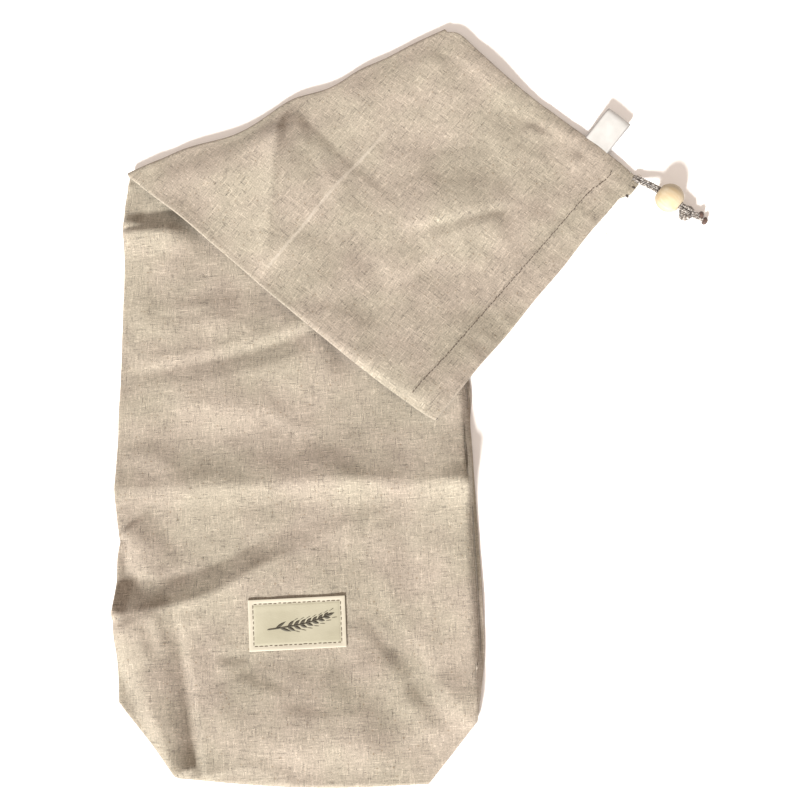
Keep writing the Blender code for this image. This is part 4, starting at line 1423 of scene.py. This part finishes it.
def make_hem_stitches(cloth, finish):
    parts = stitch_line(cloth, HEM_LINE, 3.0, 2.2, 0.72, jitter=0.35)
    parts += stitch_line(cloth, HEM_RETURN, 2.7, 2.0, 0.8, jitter=0.4)
    return settle(join(parts), "hem_stitches", finish, "linen")


def on_patch(x, y):
    """The place on the bag of a place on the patch."""
    return tuple(Matrix.Rotation(PATCH_TURN, 2) @ Vector((x, y)) + Vector(PATCH_CENTRE))


def make_patch(front, finish):
    """A plate of leather that follows the cloth, its edges rounded over."""
    wide, high = PATCH_SIZE
    across, down = PATCH_TOUCHES
    columns, rows = PATCH_CELLS
    grid = np.array([
        [surface(front, *on_patch((c / across - 0.5) * wide, (r / down - 0.5) * high)).z / MM
         for c in range(-1, across + 2)] for r in range(-1, down + 2)])
    smooth = (grid[1:-1, :-2] + 2 * grid[1:-1, 1:-1] + grid[1:-1, 2:]
              + grid[:-2, 1:-1] + grid[2:, 1:-1]) / 6
    depth, half = PATCH_GROOVE
    verts, flats = [], []
    for r in range(rows + 1):
        for c in range(columns + 1):
            x, y = (c / columns - 0.5) * wide, (r / rows - 0.5) * high
            gx, gy = min(c / columns * across, across - 0.001), min(r / rows * down, down - 0.001)
            i, j = int(gx), int(gy)
            tx, ty = gx - i, gy - j
            z = ((smooth[j, i] * (1 - tx) + smooth[j, i + 1] * tx) * (1 - ty)
                 + (smooth[j + 1, i] * (1 - tx) + smooth[j + 1, i + 1] * tx) * ty)
            edge = min(wide / 2 - abs(x), high / 2 - abs(y))
            groove = depth * math.exp(-(((edge - PATCH_INSET) / half) ** 2))
            puff = 0.12 * math.sin(x / 5.3 + y / 7.1) + 0.10 * math.sin(y / 3.9)
            z += PATCH_THICK / 2 + 0.15 - groove + puff * 0.6
            verts.append(world(*on_patch(x, y), z))
            flats.append((x * MM, y * MM))
    patch = mesh_piece("patch", verts, grid_faces(rows, columns, turned=True), flats)
    apply_modifier(patch, "SOLIDIFY", thickness=PATCH_THICK * MM, offset=0.0)
    apply_modifier(patch, "BEVEL", width=0.34 * MM, segments=3, limit_method="ANGLE",
                   angle_limit=math.radians(50))
    return settle(patch, "leather_patch_sewn", finish, "leather", "leather_patch")


def make_patch_stitches(patch, finish):
    x, y = PATCH_SIZE[0] / 2 - PATCH_INSET, PATCH_SIZE[1] / 2 - PATCH_INSET
    corners = ((-x, -y), (x, -y), (x, y), (-x, y), (-x, -y))
    parts = []
    for a, b in zip(corners, corners[1:]):
        parts += stitch_line(patch, (on_patch(*a), on_patch(*b)), 3.5, 2.6, 0.62, jitter=0.25)
    return settle(join(parts), "patch_stitches", finish, "leather")


def leaf(patch, x, y, heading, length, width):
    """One grain of the ear: a flat pointed leaf pressed on the leather."""
    verts = []
    steps = 7
    for k in range(steps + 1):
        t = k / steps
        half = width / 2 * math.sin(math.pi * min(t * 1.06, 1.0)) ** 0.8
        for sign, lift in ((-1, 0.02), (0, 0.07), (1, 0.02)):
            a, b = t * length, sign * half
            px = x + a * math.cos(heading) - b * math.sin(heading)
            py = y + a * math.sin(heading) + b * math.cos(heading)
            verts.append(surface(patch, *on_patch(px, py), lift))
    return mesh_piece("leaf", verts, grid_faces(steps, 2))


def make_motif(patch, finish):
    """A plain ear of wheat, pressed in brown: pairs of grains with their awns along a stem."""
    stem = smooth_route([Vector((*p, 0)) for p in EAR_STEM], 40)

    def line(points, lift, width):
        places = [surface(patch, *on_patch(p.x, p.y), lift) for p in points]
        return stitch(places, width * MM)

    parts = [line(stem, 0.05, 0.75)]
    for k in range(EAR_PAIRS):
        at = stem[13 + k * 4]
        ahead = stem[14 + k * 4] - stem[12 + k * 4]
        for sign in (1, -1):
            heading = math.atan2(ahead.y, ahead.x) + sign * (0.62 - 0.03 * k)
            parts.append(leaf(patch, at.x, at.y, heading, 6.4 - 0.25 * k, 2.1))
            tip = at + 6.0 * Vector((math.cos(heading), math.sin(heading), 0))
            bent = heading - sign * 0.22
            end = tip + 3.4 * Vector((math.cos(bent), math.sin(bent), 0))
            parts.append(line([tip.lerp(end, t) for t in (0, 0.5, 1)], 0.04, 0.3))
    parts.append(leaf(patch, stem[-1].x - 0.5, stem[-1].y, 0.34, 6.6, 2.0))
    for base, heading, length in EAR_LEAVES:
        parts.append(leaf(patch, stem[base].x, stem[base].y, heading, length, 1.9))
    motif = join(parts)
    apply_modifier(motif, "SOLIDIFY", thickness=0.1 * MM, offset=0.0)
    return settle(motif, "pressed_wheat_ear", finish, "leather")


def make_opening_shades(finish):
    """Painted shade in the frayed openings of the hem, at its open end and at the folded corner: a
    dark piece in each.
    """
    parts = []
    for (x, y, z), (dx, dy), width in HEM_OPENING_SHADES:
        route = [world(x + dx * t, y + dy * t, z) for t in (-0.5, -0.2, 0.2, 0.5)]
        parts.append(stitch(route, width * MM))
    return settle(join(parts), "hem_openings_painted_shade", finish, "linen")


def make_loose_threads(finish):
    """Frayed yarns where the hem is left open for the cord, and along the mouth."""
    parts = []
    for points in LOOSE_THREADS:
        route = smooth_route([Vector(p) for p in points], 14)
        parts.append(stitch([world(*p) for p in route], 0.28 * MM))
    return settle(join(parts), "loose_threads", finish, "linen")


def make_cloths():
    """Both panels with their hems, as sheets cut to the same size."""
    panels = make_panels()
    cloths = []
    for name, upward, linen in (
        ("front", True, linen_finish("natural_linen")),
        ("back", False, linen_finish("natural_linen_pale_crease", pale_line=PALE_CREASE)),
    ):
        points, flats = turn_in_hem(*panels[name], upward)
        cloth = cloth_sheet(points, flats + MAP_START)
        settle(cloth, f"{name}_cloth", linen, "linen", f"{name}_panel")
        cloths.append(cloth)
    return cloths


def make_table():
    deselect()
    bpy.ops.mesh.primitive_plane_add(size=4.0)
    table = bpy.context.object
    table.name = "table_top"
    table.data.materials.append(table_finish())


make_camera()
make_light()
cord = cord_finish()
strands = make_strands(cord)
bead = make_bead(wood_finish())
knot, tips = make_knot(cord, thread_finish("melted_brown"))
for strand, route in strands:
    declare_strand(route)
front, back = make_cloths()
make_ribbon(satin_finish())
make_hem_stitches(back, thread_finish("brown_thread"))
patch = make_patch(front, leather_finish())
make_patch_stitches(patch, thread_finish("tan_thread"))
make_motif(patch, motif_finish())
make_opening_shades(thread_finish("opening_painted_shade"))
make_loose_threads(thread_finish("linen_thread"))
make_table()
